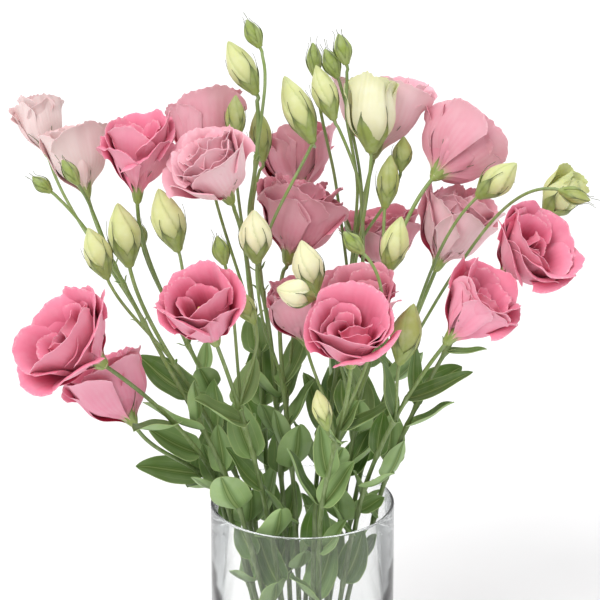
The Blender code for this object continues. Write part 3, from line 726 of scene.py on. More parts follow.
class Strand:
    """One output socket. Arithmetic on it adds Math nodes to the finish that it is part of."""

    def __init__(self, finish, socket):
        self.finish, self.socket = finish, socket

    def maths(self, operation, *values):
        inputs = dict(enumerate((self, *values)))
        return self.finish.node("ShaderNodeMath", {"operation": operation}, inputs)

    def __add__(self, other):
        return self.maths("ADD", other)

    def __sub__(self, other):
        return self.maths("SUBTRACT", other)

    def __mul__(self, other):
        return self.maths("MULTIPLY", other)

    def __pow__(self, other):
        return self.maths("POWER", other)

    def __rsub__(self, other):
        return self.finish.node("ShaderNodeMath", {"operation": "SUBTRACT"}, {0: other, 1: self})

    __radd__ = __add__
    __rmul__ = __mul__

    def sine(self):
        return self.maths("SINE")

    def ramp(self, low, high):
        """0 up to low, 1 from high on, and a smooth rise between."""
        choices = {"interpolation_type": "SMOOTHSTEP"}
        return self.finish.node("ShaderNodeMapRange", choices, {0: self, 1: low, 2: high})


class Finish:
    """A material under construction, with its Principled shader at the end."""

    def __init__(self, name, **constants):
        self.material = bpy.data.materials.new(name)
        self.material.use_nodes = True
        self.tree = self.material.node_tree
        self.shader = self.tree.nodes["Principled BSDF"]
        for label, value in constants.items():
            self.shader.inputs[label.replace("_", " ")].default_value = value

    def node(self, kind, choices=None, inputs=None, output=0):
        made = self.tree.nodes.new(kind)
        for label, value in (choices or {}).items():
            setattr(made, label, value)
        for label, value in (inputs or {}).items():
            self.feed(made.inputs[label], value)
        return Strand(self, made.outputs[output])

    def feed(self, socket, value):
        if isinstance(value, Strand):
            self.tree.links.new(value.socket, socket)
        elif isinstance(value, (tuple, list)) and len(value) == 3 and socket.type == "RGBA":
            socket.default_value = (*value, 1.0)
        else:
            socket.default_value = value

    def attribute(self, name):
        return self.node("ShaderNodeAttribute", {"attribute_name": name}, output="Fac")

    def place(self):
        return self.node("ShaderNodeTexCoord", output="Object")

    def noise(self, scale, detail=2.0):
        inputs = {"Vector": self.place(), "Scale": scale, "Detail": detail}
        return self.node("ShaderNodeTexNoise", None, inputs)

    def mix(self, factor, first, second):
        inputs = {0: factor, 6: first, 7: second}
        return self.node("ShaderNodeMix", {"data_type": "RGBA"}, inputs, output=2)

    def bump(self, height, strength, distance):
        inputs = {"Height": height, "Strength": strength, "Distance": distance}
        return self.node("ShaderNodeBump", None, inputs)

    def coat(self, colour, roughness=None, normal=None):
        self.feed(self.shader.inputs["Base Color"], colour)
        if roughness is not None:
            self.feed(self.shader.inputs["Roughness"], roughness)
        if normal is not None:
            self.feed(self.shader.inputs["Normal"], normal)
        return self.material


def lighter(colour, share):
    return tuple(channel + (1.0 - channel) * share for channel in colour)


def darker(colour, share):
    return tuple(channel * (1.0 - share) for channel in colour)


@functools.lru_cache(maxsize=None)
def glass_finish():
    """Clear glass that lets lamps shine through it."""
    tint = tuple(settings("vase").tint)
    finish = Finish(
        "clear_glass", Roughness=0.0, IOR=1.45, Transmission_Weight=1.0, Base_Color=(*tint, 1.0)
    )
    clear = finish.node("ShaderNodeBsdfTransparent", None, {"Color": tint})
    shadow = finish.node("ShaderNodeLightPath", output="Is Shadow Ray")
    body = Strand(finish, finish.shader.outputs[0])
    mixed = finish.node("ShaderNodeMixShader", None, {0: shadow, 1: body, 2: clear})
    finish.feed(finish.tree.nodes["Material Output"].inputs["Surface"], mixed)
    return finish.material


@functools.lru_cache(maxsize=None)
def petal_finish(tone):
    """Vivid inside, paler and greyer outside, bleached along the rim, and darker towards the foot
    of each petal: partly the flower's own deeper throat, partly painted shade deep in the cup.
    """
    look = settings("petal")
    inside, outside = tuple(getattr(look, tone)), tuple(getattr(look, tone + "_back"))
    throat_and_shade = tuple(look.throat_and_shade) if tone != "pale" else darker(inside, 0.35)
    finish = Finish(
        "petal_" + tone, Subsurface_Weight=0.06, Subsurface_Scale=0.003, Sheen_Weight=0.03
    )
    finish.shader.inputs["Subsurface Radius"].default_value = (1.0, 0.3, 0.35)
    finish.shader.inputs["Specular IOR Level"].default_value = 0.12
    along, across = finish.attribute("along"), finish.attribute("across")
    inner, whorl, chance = (finish.attribute(name) for name in ("inner", "whorl", "chance"))
    patches = finish.noise(70.0, 3.0)
    # Painted shade: the inner face darkens towards the foot of each petal, deep in the cup, on top
    # of the throat's own deeper colour.
    depth = 1.0 - along.ramp(0.24, 1.0)
    veins = (across * 40.0 + chance * 9.0).sine() * 0.5 + 0.5
    veins = veins * (1.0 - along.ramp(0.45, 1.0))
    face = finish.mix(depth, inside, throat_and_shade)
    face = finish.mix(patches.ramp(0.42, 0.75) * along.ramp(0.35, 0.9) * 0.42, face, outside)
    face = finish.mix(along.ramp(0.55, 1.0) * 0.45, face, lighter(outside, 0.08))
    face = finish.mix(veins * 0.14, face, throat_and_shade)
    back = finish.mix(whorl * 0.6 + 0.1, outside, inside)
    back = finish.mix(patches.ramp(0.35, 0.75) * 0.30, back, lighter(outside, 0.28))
    back = finish.mix(along.ramp(0.5, 1.0) * 0.30, back, lighter(outside, 0.30))
    back = finish.mix(veins * 0.16, back, inside)
    back = finish.mix(1.0 - along.ramp(0.05, 0.30), back, tuple(look.foot))
    colour = finish.mix(inner, back, face)
    colour = finish.mix(chance * 0.14, colour, lighter(outside, 0.2))
    edge = finish.node("ShaderNodeMath", {"operation": "MAXIMUM"}, {0: along, 1: across ** 3.0})
    specks = finish.noise(500.0, 3.0)
    frost = edge.ramp(0.95, 1.0) * specks.ramp(0.42, 0.66)
    colour = finish.mix(frost * 0.45, colour, tuple(look.rim))
    creases = veins * 0.4 + finish.noise(260.0, 3.0) * 0.6
    return finish.coat(colour, patches * 0.16 + 0.48, finish.bump(creases, 0.22, 0.0006))


@functools.lru_cache(maxsize=None)
def bud_finish(tone):
    """Furled petals: a green foot, paler flanks, a green tinge at the tip and along the folds."""
    look = settings("bud")
    flank, green = tuple(getattr(look, tone)), tuple(look.green)
    finish = Finish("bud_" + tone, Subsurface_Weight=0.15, Subsurface_Scale=0.003)
    finish.shader.inputs["Subsurface Radius"].default_value = (1.0, 0.8, 0.3)
    finish.shader.inputs["Specular IOR Level"].default_value = 0.25
    along, fold = finish.attribute("along"), finish.attribute("across")
    patches = finish.noise(120.0)
    share = {"ivory": 0.55, "cream": 0.8, "olive": 0.9, "green": 1.0}[tone]
    colour = finish.mix(patches.ramp(0.3, 0.8) * 0.4, flank, lighter(flank, 0.3))
    colour = finish.mix((1.0 - along.ramp(0.05, 0.52)) * share, colour, lighter(green, 0.06))
    colour = finish.mix(along.ramp(0.80, 1.0) * share * 0.5, colour, lighter(green, 0.12))
    colour = finish.mix((1.0 - fold.ramp(0.0, 0.3)) * 0.28, colour, green)
    return finish.coat(colour, patches * 0.15 + 0.45)


@functools.lru_cache(maxsize=None)
def leaf_finish():
    """Waxy upper face running leaf by leaf from dark to light green, partly each leaf's own tone
    and partly painted light and shade, pale underside, light midrib and arching side veins.
    """
    look = settings("leaf")
    dark, pale, vein = tuple(look.upper), tuple(look.under), tuple(look.vein)
    finish = Finish("leaf_green")
    finish.shader.inputs["Specular IOR Level"].default_value = 0.18
    along, across = finish.attribute("along"), finish.attribute("across")
    inner, chance = finish.attribute("inner"), finish.attribute("chance")
    patches = finish.noise(60.0, 3.0)
    upper = finish.mix(patches.ramp(0.3, 0.75) * 0.5, dark, lighter(dark, 0.14))
    # Painted light and shade: leaf by leaf, at random, the upper face is lifted from the dark green
    # of a shaded leaf towards the light green of a lit one; partly each leaf's own tone.
    upper = finish.mix(chance ** 1.4 * 0.85, upper, lighter(pale, 0.02))
    under = finish.mix(patches.ramp(0.3, 0.75) * 0.4, pale, lighter(pale, 0.2))
    colour = finish.mix(inner, upper, under)
    midrib = 1.0 - across.ramp(0.03, 0.11)
    side_veins = (across * 14.5 - 0.6).sine().ramp(0.86, 1.0)
    side_veins = side_veins * (1.0 - along.ramp(0.5, 0.95)) * 0.26
    # Painted shade: darker in the valley along the folded midrib.
    colour = finish.mix(1.0 - across.ramp(0.0, 0.45), colour, darker(dark, 0.15))
    colour = finish.mix(midrib * 0.45, colour, vein)
    colour = finish.mix(side_veins, colour, vein)
    colour = finish.mix(across.ramp(0.9, 1.0) * 0.45, colour, vein)
    height = side_veins - midrib + patches * 0.3
    return finish.coat(colour, patches * 0.2 + 0.36, finish.bump(height, 0.3, 0.0004))


@functools.lru_cache(maxsize=None)
def stem_finish():
    """Green that pales from the cut foot to the flowers, with faint long streaks."""
    look = settings("stem")
    young, old = tuple(look.young), tuple(look.old)
    finish = Finish("stem_green", Roughness=0.42)
    finish.shader.inputs["Specular IOR Level"].default_value = 0.4
    height = finish.node("ShaderNodeSeparateXYZ", None, {0: finish.place()}, output="Z")
    drawn_out = {"Vector": finish.place(), "Scale": (1.0, 1.0, 0.12)}
    along = finish.node("ShaderNodeMapping", None, drawn_out)
    streaks = finish.node(
        "ShaderNodeTexNoise", None, {"Vector": along, "Scale": 420.0, "Detail": 2.0}
    )
    colour = finish.mix(height.ramp(0.10, 0.42), old, young)
    colour = finish.mix(streaks.ramp(0.35, 0.7) * 0.45, colour, lighter(young, 0.16))
    colour = finish.mix(finish.noise(22.0).ramp(0.45, 0.7) * 0.45, colour, darker(old, 0.1))
    return finish.coat(colour)


@functools.lru_cache(maxsize=None)
def sepal_finish():
    """Green blades with a darker keel, running out to dark threads."""
    green, dark = tuple(settings("bud").green), tuple(settings("bud").sepal)
    finish = Finish("sepal_green", Roughness=0.5)
    along, across = finish.attribute("along"), finish.attribute("across")
    colour = finish.mix(finish.noise(180.0).ramp(0.3, 0.75) * 0.5, green, lighter(green, 0.16))
    colour = finish.mix((1.0 - across.ramp(0.0, 0.35)) * along.ramp(0.02, 0.2) * 0.4, colour, dark)
    return finish.coat(finish.mix(along.ramp(0.38, 0.66), colour, dark))


@functools.lru_cache(maxsize=None)
def pollen_finish():
    pollen = tuple(settings("bud").pollen)
    finish = Finish("pollen_yellow", Roughness=0.7)
    grains = finish.noise(900.0).ramp(0.4, 0.62)
    return finish.coat(finish.mix(grains * 0.5, pollen, darker(pollen, 0.45)))


@functools.lru_cache(maxsize=None)
def floor_finish():
    colour = tuple(settings("stage").floor)
    finish = Finish("pale_floor", Roughness=0.9)
    finish.shader.inputs["Specular IOR Level"].default_value = 0.0
    return finish.coat(finish.mix(finish.noise(3.0) * 0.05, colour, darker(colour, 0.06)))


# ---------------------------------------------------------------- shaping


def through(x, stations, values):
    """A smooth curve through the values at the stations, without overshoot between them."""
    stations, values = np.asarray(stations, float), np.asarray(values, float)
    gaps = np.diff(stations)
    rises = np.diff(values) / gaps
    slopes = np.zeros(len(values))
    both = rises[:-1] * rises[1:]
    turning = both > 0
    slopes[1:-1][turning] = (2 * both)[turning] / (rises[:-1] + rises[1:])[turning]
    slopes[0], slopes[-1] = rises[0], rises[-1]
    index = np.clip(np.searchsorted(stations, x, "right") - 1, 0, len(gaps) - 1)
    t, gap = (x - stations[index]) / gaps[index], gaps[index]
    return (
        (2 * t**3 - 3 * t**2 + 1) * values[index]
        + (t**3 - 2 * t**2 + t) * gap * slopes[index]
        + (3 * t**2 - 2 * t**3) * values[index + 1]
        + (t**3 - t**2) * gap * slopes[index + 1]
    )


def eased(x):
    x = np.clip(x, 0.0, 1.0)
    return x * x * (3 - 2 * x)


def head_frame(head):
    """The head's own axes as columns: two across it, and the last along its aim."""
    turn = Vector((0, 0, 1)).rotation_difference(Vector(head.aim).normalized())
    return np.array(turn.to_matrix())


def placed(points, head):
    """Points given in a head's own axes, seated at its place, in metres."""
    return (points @ head_frame(head).T + np.array(head.at, float)) * MM


def select_only(*objects):
    bpy.ops.object.select_all(action="DESELECT")
    for obj in objects:
        obj.select_set(True)
    bpy.context.view_layer.objects.active = objects[0]


def grid_order(mesh, columns, rows):
    """For each vertex of a grid primitive of size 2, its place in a rows-by-columns table."""
    spots = np.empty(len(mesh.vertices) * 3, np.float32)
    mesh.vertices.foreach_get("co", spots)
    spots = spots.reshape(-1, 3)
    column = np.rint((spots[:, 0] + 1) / 2 * (columns - 1)).astype(int)
    row = np.rint((spots[:, 1] + 1) / 2 * (rows - 1)).astype(int)
    return row * columns + column


def write_attribute(mesh, name, values):
    layer = mesh.attributes.get(name) or mesh.attributes.new(name, "FLOAT", "POINT")
    layer.data.foreach_set("value", np.ascontiguousarray(values, np.float32))


def sheet_object(name, points, facts):
    """A grid primitive bent to a table of points, with facts stored at each of them."""
    rows, columns = points.shape[:2]
    bpy.ops.object.select_all(action="DESELECT")
    bpy.ops.mesh.primitive_grid_add(x_subdivisions=columns - 1, y_subdivisions=rows - 1, size=2)
    obj = bpy.context.object
    obj.name = obj.data.name = name
    order = grid_order(obj.data, columns, rows)
    obj.data.vertices.foreach_set("co", points.reshape(-1, 3)[order].astype(np.float32).ravel())
    for label, values in facts.items():
        table = np.broadcast_to(values, (rows, columns)).ravel()
        write_attribute(obj.data, label, table[order])
    return obj


def joined(name, objects):
    select_only(*objects)
    if len(objects) > 1:
        bpy.ops.object.join()
    objects[0].name = objects[0].data.name = name
    return objects[0]


def thicken(obj, thickness):
    """Give a sheet its thickness on its inner side, and mark that side as inner."""
    count = len(obj.data.vertices)
    wall = obj.modifiers.new("thickness", "SOLIDIFY")
    wall.thickness, wall.offset = thickness, -1.0
    select_only(obj)
    bpy.ops.object.modifier_apply(modifier=wall.name)
    inner = np.zeros(len(obj.data.vertices))
    inner[count:] = 1.0
    write_attribute(obj.data, "inner", inner)


def finish_piece(obj, material, slot, *nodes, smooth=60.0):
    """Smooth shading, its material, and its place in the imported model."""
    obj.data.materials.clear()
    obj.data.materials.append(material)
    select_only(obj)
    bpy.ops.object.shade_smooth_by_angle(angle=math.radians(smooth))
    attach(obj, BODY)
    if nodes:
        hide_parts(*nodes)
    return obj


def tubes(name, lines, roundness=4):
    """Round tubes along the lines, each given as points in metres and radii in millimetres."""
    curve = bpy.data.curves.new(name, "CURVE")
    curve.dimensions = "3D"
    curve.bevel_depth = MM
    curve.bevel_resolution = roundness
    curve.use_fill_caps = True
    for points, radii in lines:
        spline = curve.splines.new("POLY")
        spline.points.add(len(points) - 1)
        flat = np.column_stack([points, np.ones(len(points))])
        spline.points.foreach_set("co", flat.ravel().astype(np.float32))
        spline.points.foreach_set("radius", np.asarray(radii, np.float32))
    obj = bpy.data.objects.new(name, curve)
    bpy.context.scene.collection.objects.link(obj)
    select_only(obj)
    bpy.ops.object.convert(target="MESH")
    obj = bpy.context.object
    bpy.ops.object.mode_set(mode="EDIT")
    bpy.ops.mesh.select_all(action="SELECT")
    bpy.ops.mesh.remove_doubles(threshold=SAME_PLACE)
    bpy.ops.mesh.normals_make_consistent(inside=False)
    bpy.ops.object.mode_set(mode="OBJECT")
    return obj


def fine_line(points, radii, parts):
    """The same line with more points, as a smooth curve through the old ones."""
    old = np.arange(len(points))
    new = np.linspace(0, len(points) - 1, (len(points) - 1) * parts + 1)
    line = np.column_stack([through(new, old, points[:, axis]) for axis in range(3)])
    return line, np.interp(new, old, radii)


# ---------------------------------------------------------------- glass


def choose_faces(mesh, test):
    for face in mesh.polygons:
        face.select = bool(test(face.center, face.normal))


def choose_edges(mesh, test):
    """Select the edges whose two ends and direction pass the test."""
    for edge in mesh.edges:
        first, second = (mesh.vertices[i].co for i in edge.vertices)
        edge.select = bool(test(first, second))


def edit(obj, kind, mesh_test, choose):
    """Into edit mode with just the chosen faces or edges selected."""
    select_only(obj)
    bpy.ops.object.mode_set(mode="EDIT")
    bpy.ops.mesh.select_mode(type=kind)
    bpy.ops.mesh.select_all(action="DESELECT")
    bpy.ops.object.mode_set(mode="OBJECT")
    choose(obj.data, mesh_test)
    bpy.ops.object.mode_set(mode="EDIT")


def make_vase():
    look = settings("vase")
    inner = look.radius - look.wall
    bpy.ops.object.select_all(action="DESELECT")
    bpy.ops.mesh.primitive_cylinder_add(
        vertices=GLASS_SIDES, radius=look.radius, depth=look.height,
        location=(0, 0, look.height / 2),
    )
    obj = bpy.context.object
    bpy.ops.object.transform_apply(location=True)
    edit(obj, "FACE", lambda centre, normal: normal.z > 0.9, choose_faces)
    bpy.ops.mesh.inset(thickness=look.wall)
    bpy.ops.mesh.extrude_region_move(
        TRANSFORM_OT_translate={"value": (0, 0, look.floor - look.height)}
    )
    bpy.ops.object.mode_set(mode="OBJECT")

    def level_ring(height, radius):
        def test(first, second):
            return all(
                abs(end.z - height) < MM / 2 and abs(math.hypot(end.x, end.y) - radius) < MM / 2
                for end in (first, second)
            )
        return test

    corners = (
        (look.height, look.radius, look.rim), (look.height, inner, look.rim),
        (look.floor, inner, INSIDE_ROUNDING), (0.0, look.radius, FOOT_ROUNDING),
    )
    for height, radius, rounding in corners:
        edit(obj, "EDGE", level_ring(height, radius), choose_edges)
        bpy.ops.mesh.bevel(offset=rounding, segments=ROUNDING_STEPS, affect="EDGES")
        bpy.ops.object.mode_set(mode="OBJECT")
    obj.name = obj.data.name = "glass_vase"
    finish_piece(obj, glass_finish(), "clear_glass", "vase", smooth=30.0)


# ---------------------------------------------------------------- stems and leaves


@functools.lru_cache(maxsize=None)
def arrangement():
    """The settled stems, and the leaves in the room between them."""
    chains = settle(all_chains())
    return chains, place_leaves(chains)


def chain_line(chain, nodes):
    """A stem's or fork's fine centre line, and its radii with a swelling at each node."""
    under_head = chain.points[-1] - HEAD_RUN * unit(chain.head.aim)
    in_seat = chain.points[-1] + SEAT_DEPTH * unit(chain.head.aim)
    points = np.vstack([chain.points[:-1], under_head, in_seat])
    radii = np.append(chain.radii, chain.radii[-1])
    points, radii = fine_line(points, radii, 2)
    swelling = settings("stem").swelling / MM
    for node in nodes:
        away = np.linalg.norm(points - node, axis=1)
        radii = radii + swelling * np.exp(-((away / NODE_REACH) ** 2))
    return points, radii


def make_stems():
    chains, leaves = arrangement()
    for number in range(len(STEMS)):
        own = [chain for chain in chains if chain.stem == number]
        nodes = [chain.points[0] for chain in own[1:]]
        nodes += [place[0] for owner, place in leaves if owner == number]
        lines = []
        for chain in own:
            points, radii = chain_line(chain, nodes)
            lines.append((points * MM, radii))
        obj = tubes(f"cut_stem_{number + 1:02d}", lines)
        finish_piece(obj, stem_finish(), "stem_green", f"stem_{number + 1:02d}")


def leaf_sheet(place, chance, rows, columns):
    """A bowed blade folded along its midrib, its edges gently waving, its tip turning down."""
    foot, tip, stem_way, half_width = place
    along, across = np.linspace(0, 1, rows)[:, None], np.linspace(-1, 1, columns)[None]
    way = tip - foot
    length = np.linalg.norm(way)
    upper = unit(stem_way - unit(way) * (unit(way) @ stem_way))
    side = np.cross(unit(way), upper)
    wide = half_width * through(along, LEAF_STATIONS, LEAF_WIDTHS)
    wave = 0.06 * np.sin(9.0 * along + 7.0 * chance[0] + np.sign(across) * (1.5 + chance[1]))
    rise = -LEAF_BOW * length * 4 * along * (1 - along)
    rise = rise + wide * np.abs(across) ** 1.7 * (LEAF_FOLD + 0.14 * chance[2])
    rise = rise + half_width * wave * across**2 * eased(along * 3)
    rise = rise - length * (0.05 + 0.05 * chance[3]) * np.clip(along - 0.7, 0, 1) ** 2 * 11
    bend = length * 0.06 * (chance[1] - 0.5) * np.sin(math.pi * along)
    span = wide * across + bend
    return foot + way * along[..., None] + side * span[..., None] + upper * rise[..., None]


def leaf_facts(rows, columns, chance):
    along, across = np.linspace(0, 1, rows)[:, None], np.linspace(-1, 1, columns)[None]
    return {"along": along, "across": np.abs(across), "chance": chance}


def bract_places(chains, rng):
    """A pair of narrow bracts at each fork, standing off along the stem."""
    places = []
    for chain in chains:
        if chain.parent is None:
            continue
        foot = chain.points[0]
        way = unit(chain.parent.points[chain.fork] - chain.parent.points[chain.fork - 1])
        out = unit(np.cross(way, chain.points[1] - foot + 1e-6))
        for sign in (-1, 1):
            tip = foot + (way * 0.75 + out * sign * 0.66) * rng.uniform(8, 14)
            places.append((chain.stem, (foot, tip, way, rng.uniform(1.3, 2.2))))
    return places


def make_leaves():
    chains, leaves = arrangement()
    rng = np.random.default_rng(LEAF_SEED)
    places = leaves + bract_places(chains, rng)
    for number in range(len(STEMS)):
        sheets = []
        for index, place in enumerate(place for owner, place in places if owner == number):
            chance = rng.uniform(0, 1, 4)
            rows, columns = LEAF_GRID if place[3] > BRACT_WIDTH else BRACT_GRID
            points = leaf_sheet(place, chance, rows, columns) * MM
            facts = leaf_facts(rows, columns, chance[0])
            sheets.append(sheet_object(f"leaf_{number}_{index}", points, facts))
        if not sheets:
            continue
        obj = joined(f"leaves_{number + 1:02d}", sheets)
        thicken(obj, settings("leaf").thickness)
        finish_piece(obj, leaf_finish(), "stem_green")


# ---------------------------------------------------------------- petals


def lean_lines(lean, stretch):
    """Out and up distances of a petal that leans by so much at each row, from its foot."""
    step = stretch / (lean.shape[0] - 1)
    middle = (lean[1:] + lean[:-1]) / 2
    out = np.vstack([np.zeros_like(lean[:1]), np.cumsum(np.sin(middle) * step, axis=0)])
    up = np.vstack([np.zeros_like(lean[:1]), np.cumsum(np.cos(middle) * step, axis=0)])
    return out, up


def plain_reach(lean):
    """The farthest out and up that a plain petal of this lean gets, for a length of 1."""
    along = np.linspace(0, 1, PETAL_ROWS)
    angles = np.radians(through(along, STATIONS, lean))[:, None]
    out, up = lean_lines(angles, np.ones((1, 1)))
    return out.max(), up.max()


def waves(across, rng, lowest, highest, count):
    """A sum of sines across the petal, of unit size, with chance phases."""
    total = 0.0
    for _ in range(count):
        speed, phase = rng.uniform(lowest, highest), rng.uniform(0, 2 * math.pi)
        total = total + np.sin(speed * across + phase)
    return total / math.sqrt(count)


def petal_sheet(whorl, head, turn, fall, rng):
    """Points of one petal in its flower's own axes, in millimetres, rows from foot to rim."""
    along = np.linspace(0, 1, PETAL_ROWS)[:, None]
    across = np.linspace(-1, 1, PETAL_COLUMNS)[None]
    foot = head.radius * FOOT_SHARE * (0.4 + 0.6 * whorl.radius)
    lean = through(along, STATIONS, whorl.lean)
    lean = lean + rng.normal(0, LEAN_CHANCE) * eased(along) + fall * eased((along - 0.22) / 0.5)
    lean = lean + rng.normal(0, TWIST_CHANCE) * across * eased((along - 0.3) / 0.7)
    side = rng.choice((-1.0, 1.0))
    corner = np.abs(across) ** 2.5 * (0.5 + 0.5 * side * np.sign(across))
    lean = lean + whorl.fold * rng.uniform(*CORNER_FOLD) * corner * eased((along - 0.45) / 0.55)
    rim_wave = rng.uniform(*RIM_WAVE) * waves(across, rng, 1.8, 4.5, 2)
    lean = lean + rim_wave * eased((along - 0.5) / 0.5)
    lean = np.radians(lean)
    round_off = 1 - 0.20 * np.abs(across) ** 2.6 - 0.04 * np.abs(across) ** 9
    fray = 1 + FRAY * waves(across, rng, 3, 9, 2) + FINE_FRAY * waves(across, rng, 16, 34, 3)
    out, up = lean_lines(lean, round_off * fray)
    reach_out, reach_up = plain_reach(whorl.lean)
    wide = (head.radius * whorl.radius - foot) / reach_out
    tall = head.length * whorl.height / reach_up
    size = rng.uniform(*SIZE_CHANCE)
    out, up = foot + out * wide * size, up * tall * size
    ruffle = whorl.ruffle * settings("petal").ruffle
    ripple = ruffle * along**2.2 * waves(across, rng, 2.2, 5.5, 3)
    ripple = ripple + 0.4 * ruffle * along**5 * waves(across, rng, 8, 17, 3)
    ripple = ripple + 1.2 * np.sin(math.pi * along) * waves(across, rng, 1.2, 3.0, 2)
    out = out + ripple * np.cos(lean)
    up = up - ripple * np.sin(lean)
    spread = np.radians(through(along, (0.0, 0.5, 1.0), whorl.spread))
    spread = spread * rng.uniform(*SPREAD_CHANCE)
    angle = across * spread
    flat = 1 + FLATNESS * (1 / np.cos(np.clip(np.abs(angle), 0, 0.9)) - 1)
    slip = whorl.slip * across * eased(along * 1.6)
    round_angle = turn + angle + rng.normal(0, ROLL_CHANCE) * along
    radius = np.maximum(out * flat + slip, 0.4)
    return np.stack([radius * np.cos(round_angle), radius * np.sin(round_angle), up], axis=-1)


def make_whorls(head, number):
    """All the petals of a flower: the outermost ring as one piece, the rest as another."""
    rng = np.random.default_rng(BLOOM_SEED + number)
    along = np.linspace(0, 1, PETAL_ROWS)[:, None]
    across = np.abs(np.linspace(-1, 1, PETAL_COLUMNS))[None]
    rings = []
    for ring, whorl in enumerate(FORMS[head.form]):
        sheets = []
        start = math.radians(head.spin) + ring * math.pi / 5 + rng.normal(0, RING_CHANCE)
        for index in range(whorl.count):
            turn = start + 2 * math.pi * index / whorl.count + rng.normal(0, TURN_CHANCE)
            fall = head.fall * (ring == 0) * (index in head.fallen)
            points = placed(petal_sheet(whorl, head, turn, fall, rng), head)
            facts = {
                "along": along, "across": across,
                "whorl": ring / (len(FORMS[head.form]) - 1), "chance": rng.uniform(0, 1),
            }
            sheets.append(sheet_object(f"petal_{number}_{ring}_{index}", points, facts))
        rings.append(sheets)
    thickness = settings("petal").thickness
    outer = joined(f"outer_petals_{number:02d}", rings[0])
    heart = joined(f"inner_petals_{number:02d}", [sheet for ring in rings[1:] for sheet in ring])
    for obj in (outer, heart):
        thicken(obj, thickness)
    return outer, heart


def heads_of(kind):
    return [head for stem in STEMS for head in stem.heads if head.kind == kind]


def make_blooms():
    for number, head in enumerate(heads_of("bloom"), 1):
        outer, heart = make_whorls(head, number)
        finish, slot = petal_finish(head.tone), "petal_" + head.tone
        finish_piece(outer, finish, slot, f"bloom_{number:02d}")
        finish_piece(heart, finish, slot)


# ---------------------------------------------------------------- buds, sepals, stamens


def bud_object(name, head, rng):
    """A sphere drawn out to a spindle, with five folds that wind round it."""
    bpy.ops.object.select_all(action="DESELECT")
    bpy.ops.mesh.primitive_uv_sphere_add(segments=60, ring_count=28, radius=1)
    obj = bpy.context.object
    spots = np.empty(len(obj.data.vertices) * 3, np.float32)
    obj.data.vertices.foreach_get("co", spots)
    x, y, z = spots.reshape(-1, 3).T.astype(float)
    along = np.arccos(np.clip(-z, -1, 1)) / math.pi
    angle = np.arctan2(y, x)
    wind = BUD_WIND * rng.uniform(0.8, 1.2)
    fold = (BUD_FOLDS * (angle / (2 * math.pi) + wind * along) + rng.uniform(0, 1)) % 1.0
    body = through(along, BUD_STATIONS, BUD_WIDTHS) * head.radius
    relief = BUD_RELIEF * (fold - 0.55) * eased(along * 5) * eased((1 - along) * 9 + 0.25)
    radius = body * (1 + relief)
    bow = head.radius * BUD_BOW * np.sin(math.pi * along) * rng.uniform(-1, 1)
    up = along * head.length * (1 + 0.012 * fold * along)
    points = np.column_stack([radius * np.cos(angle) + bow, radius * np.sin(angle), up])
    obj.data.vertices.foreach_set("co", placed(points, head).astype(np.float32).ravel())
    write_attribute(obj.data, "along", along)
    write_attribute(obj.data, "across", fold)
    obj.name = obj.data.name = name
    return obj


def open_bud(head, number):
    """A bud about to open, of wrapped petals."""
    rng = np.random.default_rng(OPENING_SEED + number)
    sheets = []
    along = np.linspace(0, 1, PETAL_ROWS)[:, None]
    across = np.abs(np.linspace(-1, 1, PETAL_COLUMNS))[None]
    for ring, whorl in enumerate(TULIP):
        for index in range(whorl.count):
            turn = ring + 2 * math.pi * index / whorl.count
            points = placed(petal_sheet(whorl, head, turn, 0.0, rng), head)
            facts = {"along": along, "across": 1.0 - 0.8 * across**6}
            sheets.append(sheet_object(f"wrap_{ring}_{index}", points, facts))
    obj = joined(f"opening_bud_{number:02d}", sheets)
    thicken(obj, settings("petal").thickness)
    return obj


def make_buds():
    for kind in ("bud", "tip_bud"):
        for number, head in enumerate(heads_of(kind), 1):
            name = f"{kind}_body_{number:02d}"
            if head.form == "tulip":
                obj = open_bud(head, number)
            else:
                seed = BUD_SEED + number + 50 * (kind == "bud")
                obj = bud_object(name, head, np.random.default_rng(seed))
            slot = "stem_green" if head.tone == "green" else "bud_" + head.tone
            nodes = [f"bud_{number:02d}"] if kind == "bud" else []
            finish_piece(obj, bud_finish(head.tone), slot, *nodes)


def flank(head):
    """How far out a head's outer face is at shares of its height, as two tables."""
    if head.kind != "bloom":
        return np.array(BUD_STATIONS) * head.length, np.array(BUD_WIDTHS) * head.radius
    whorl = FORMS[head.form][0]
    along = np.linspace(0, 1, PETAL_ROWS)
    angles = np.radians(through(along, STATIONS, whorl.lean))[:, None]
    out, up = lean_lines(angles, np.ones((1, 1)))
    foot = head.radius * FOOT_SHARE
    wide = (head.radius - foot) / out.max()
    tall = head.length * whorl.height / up.max()
    return up[:, 0] * tall, foot + out[:, 0] * wide


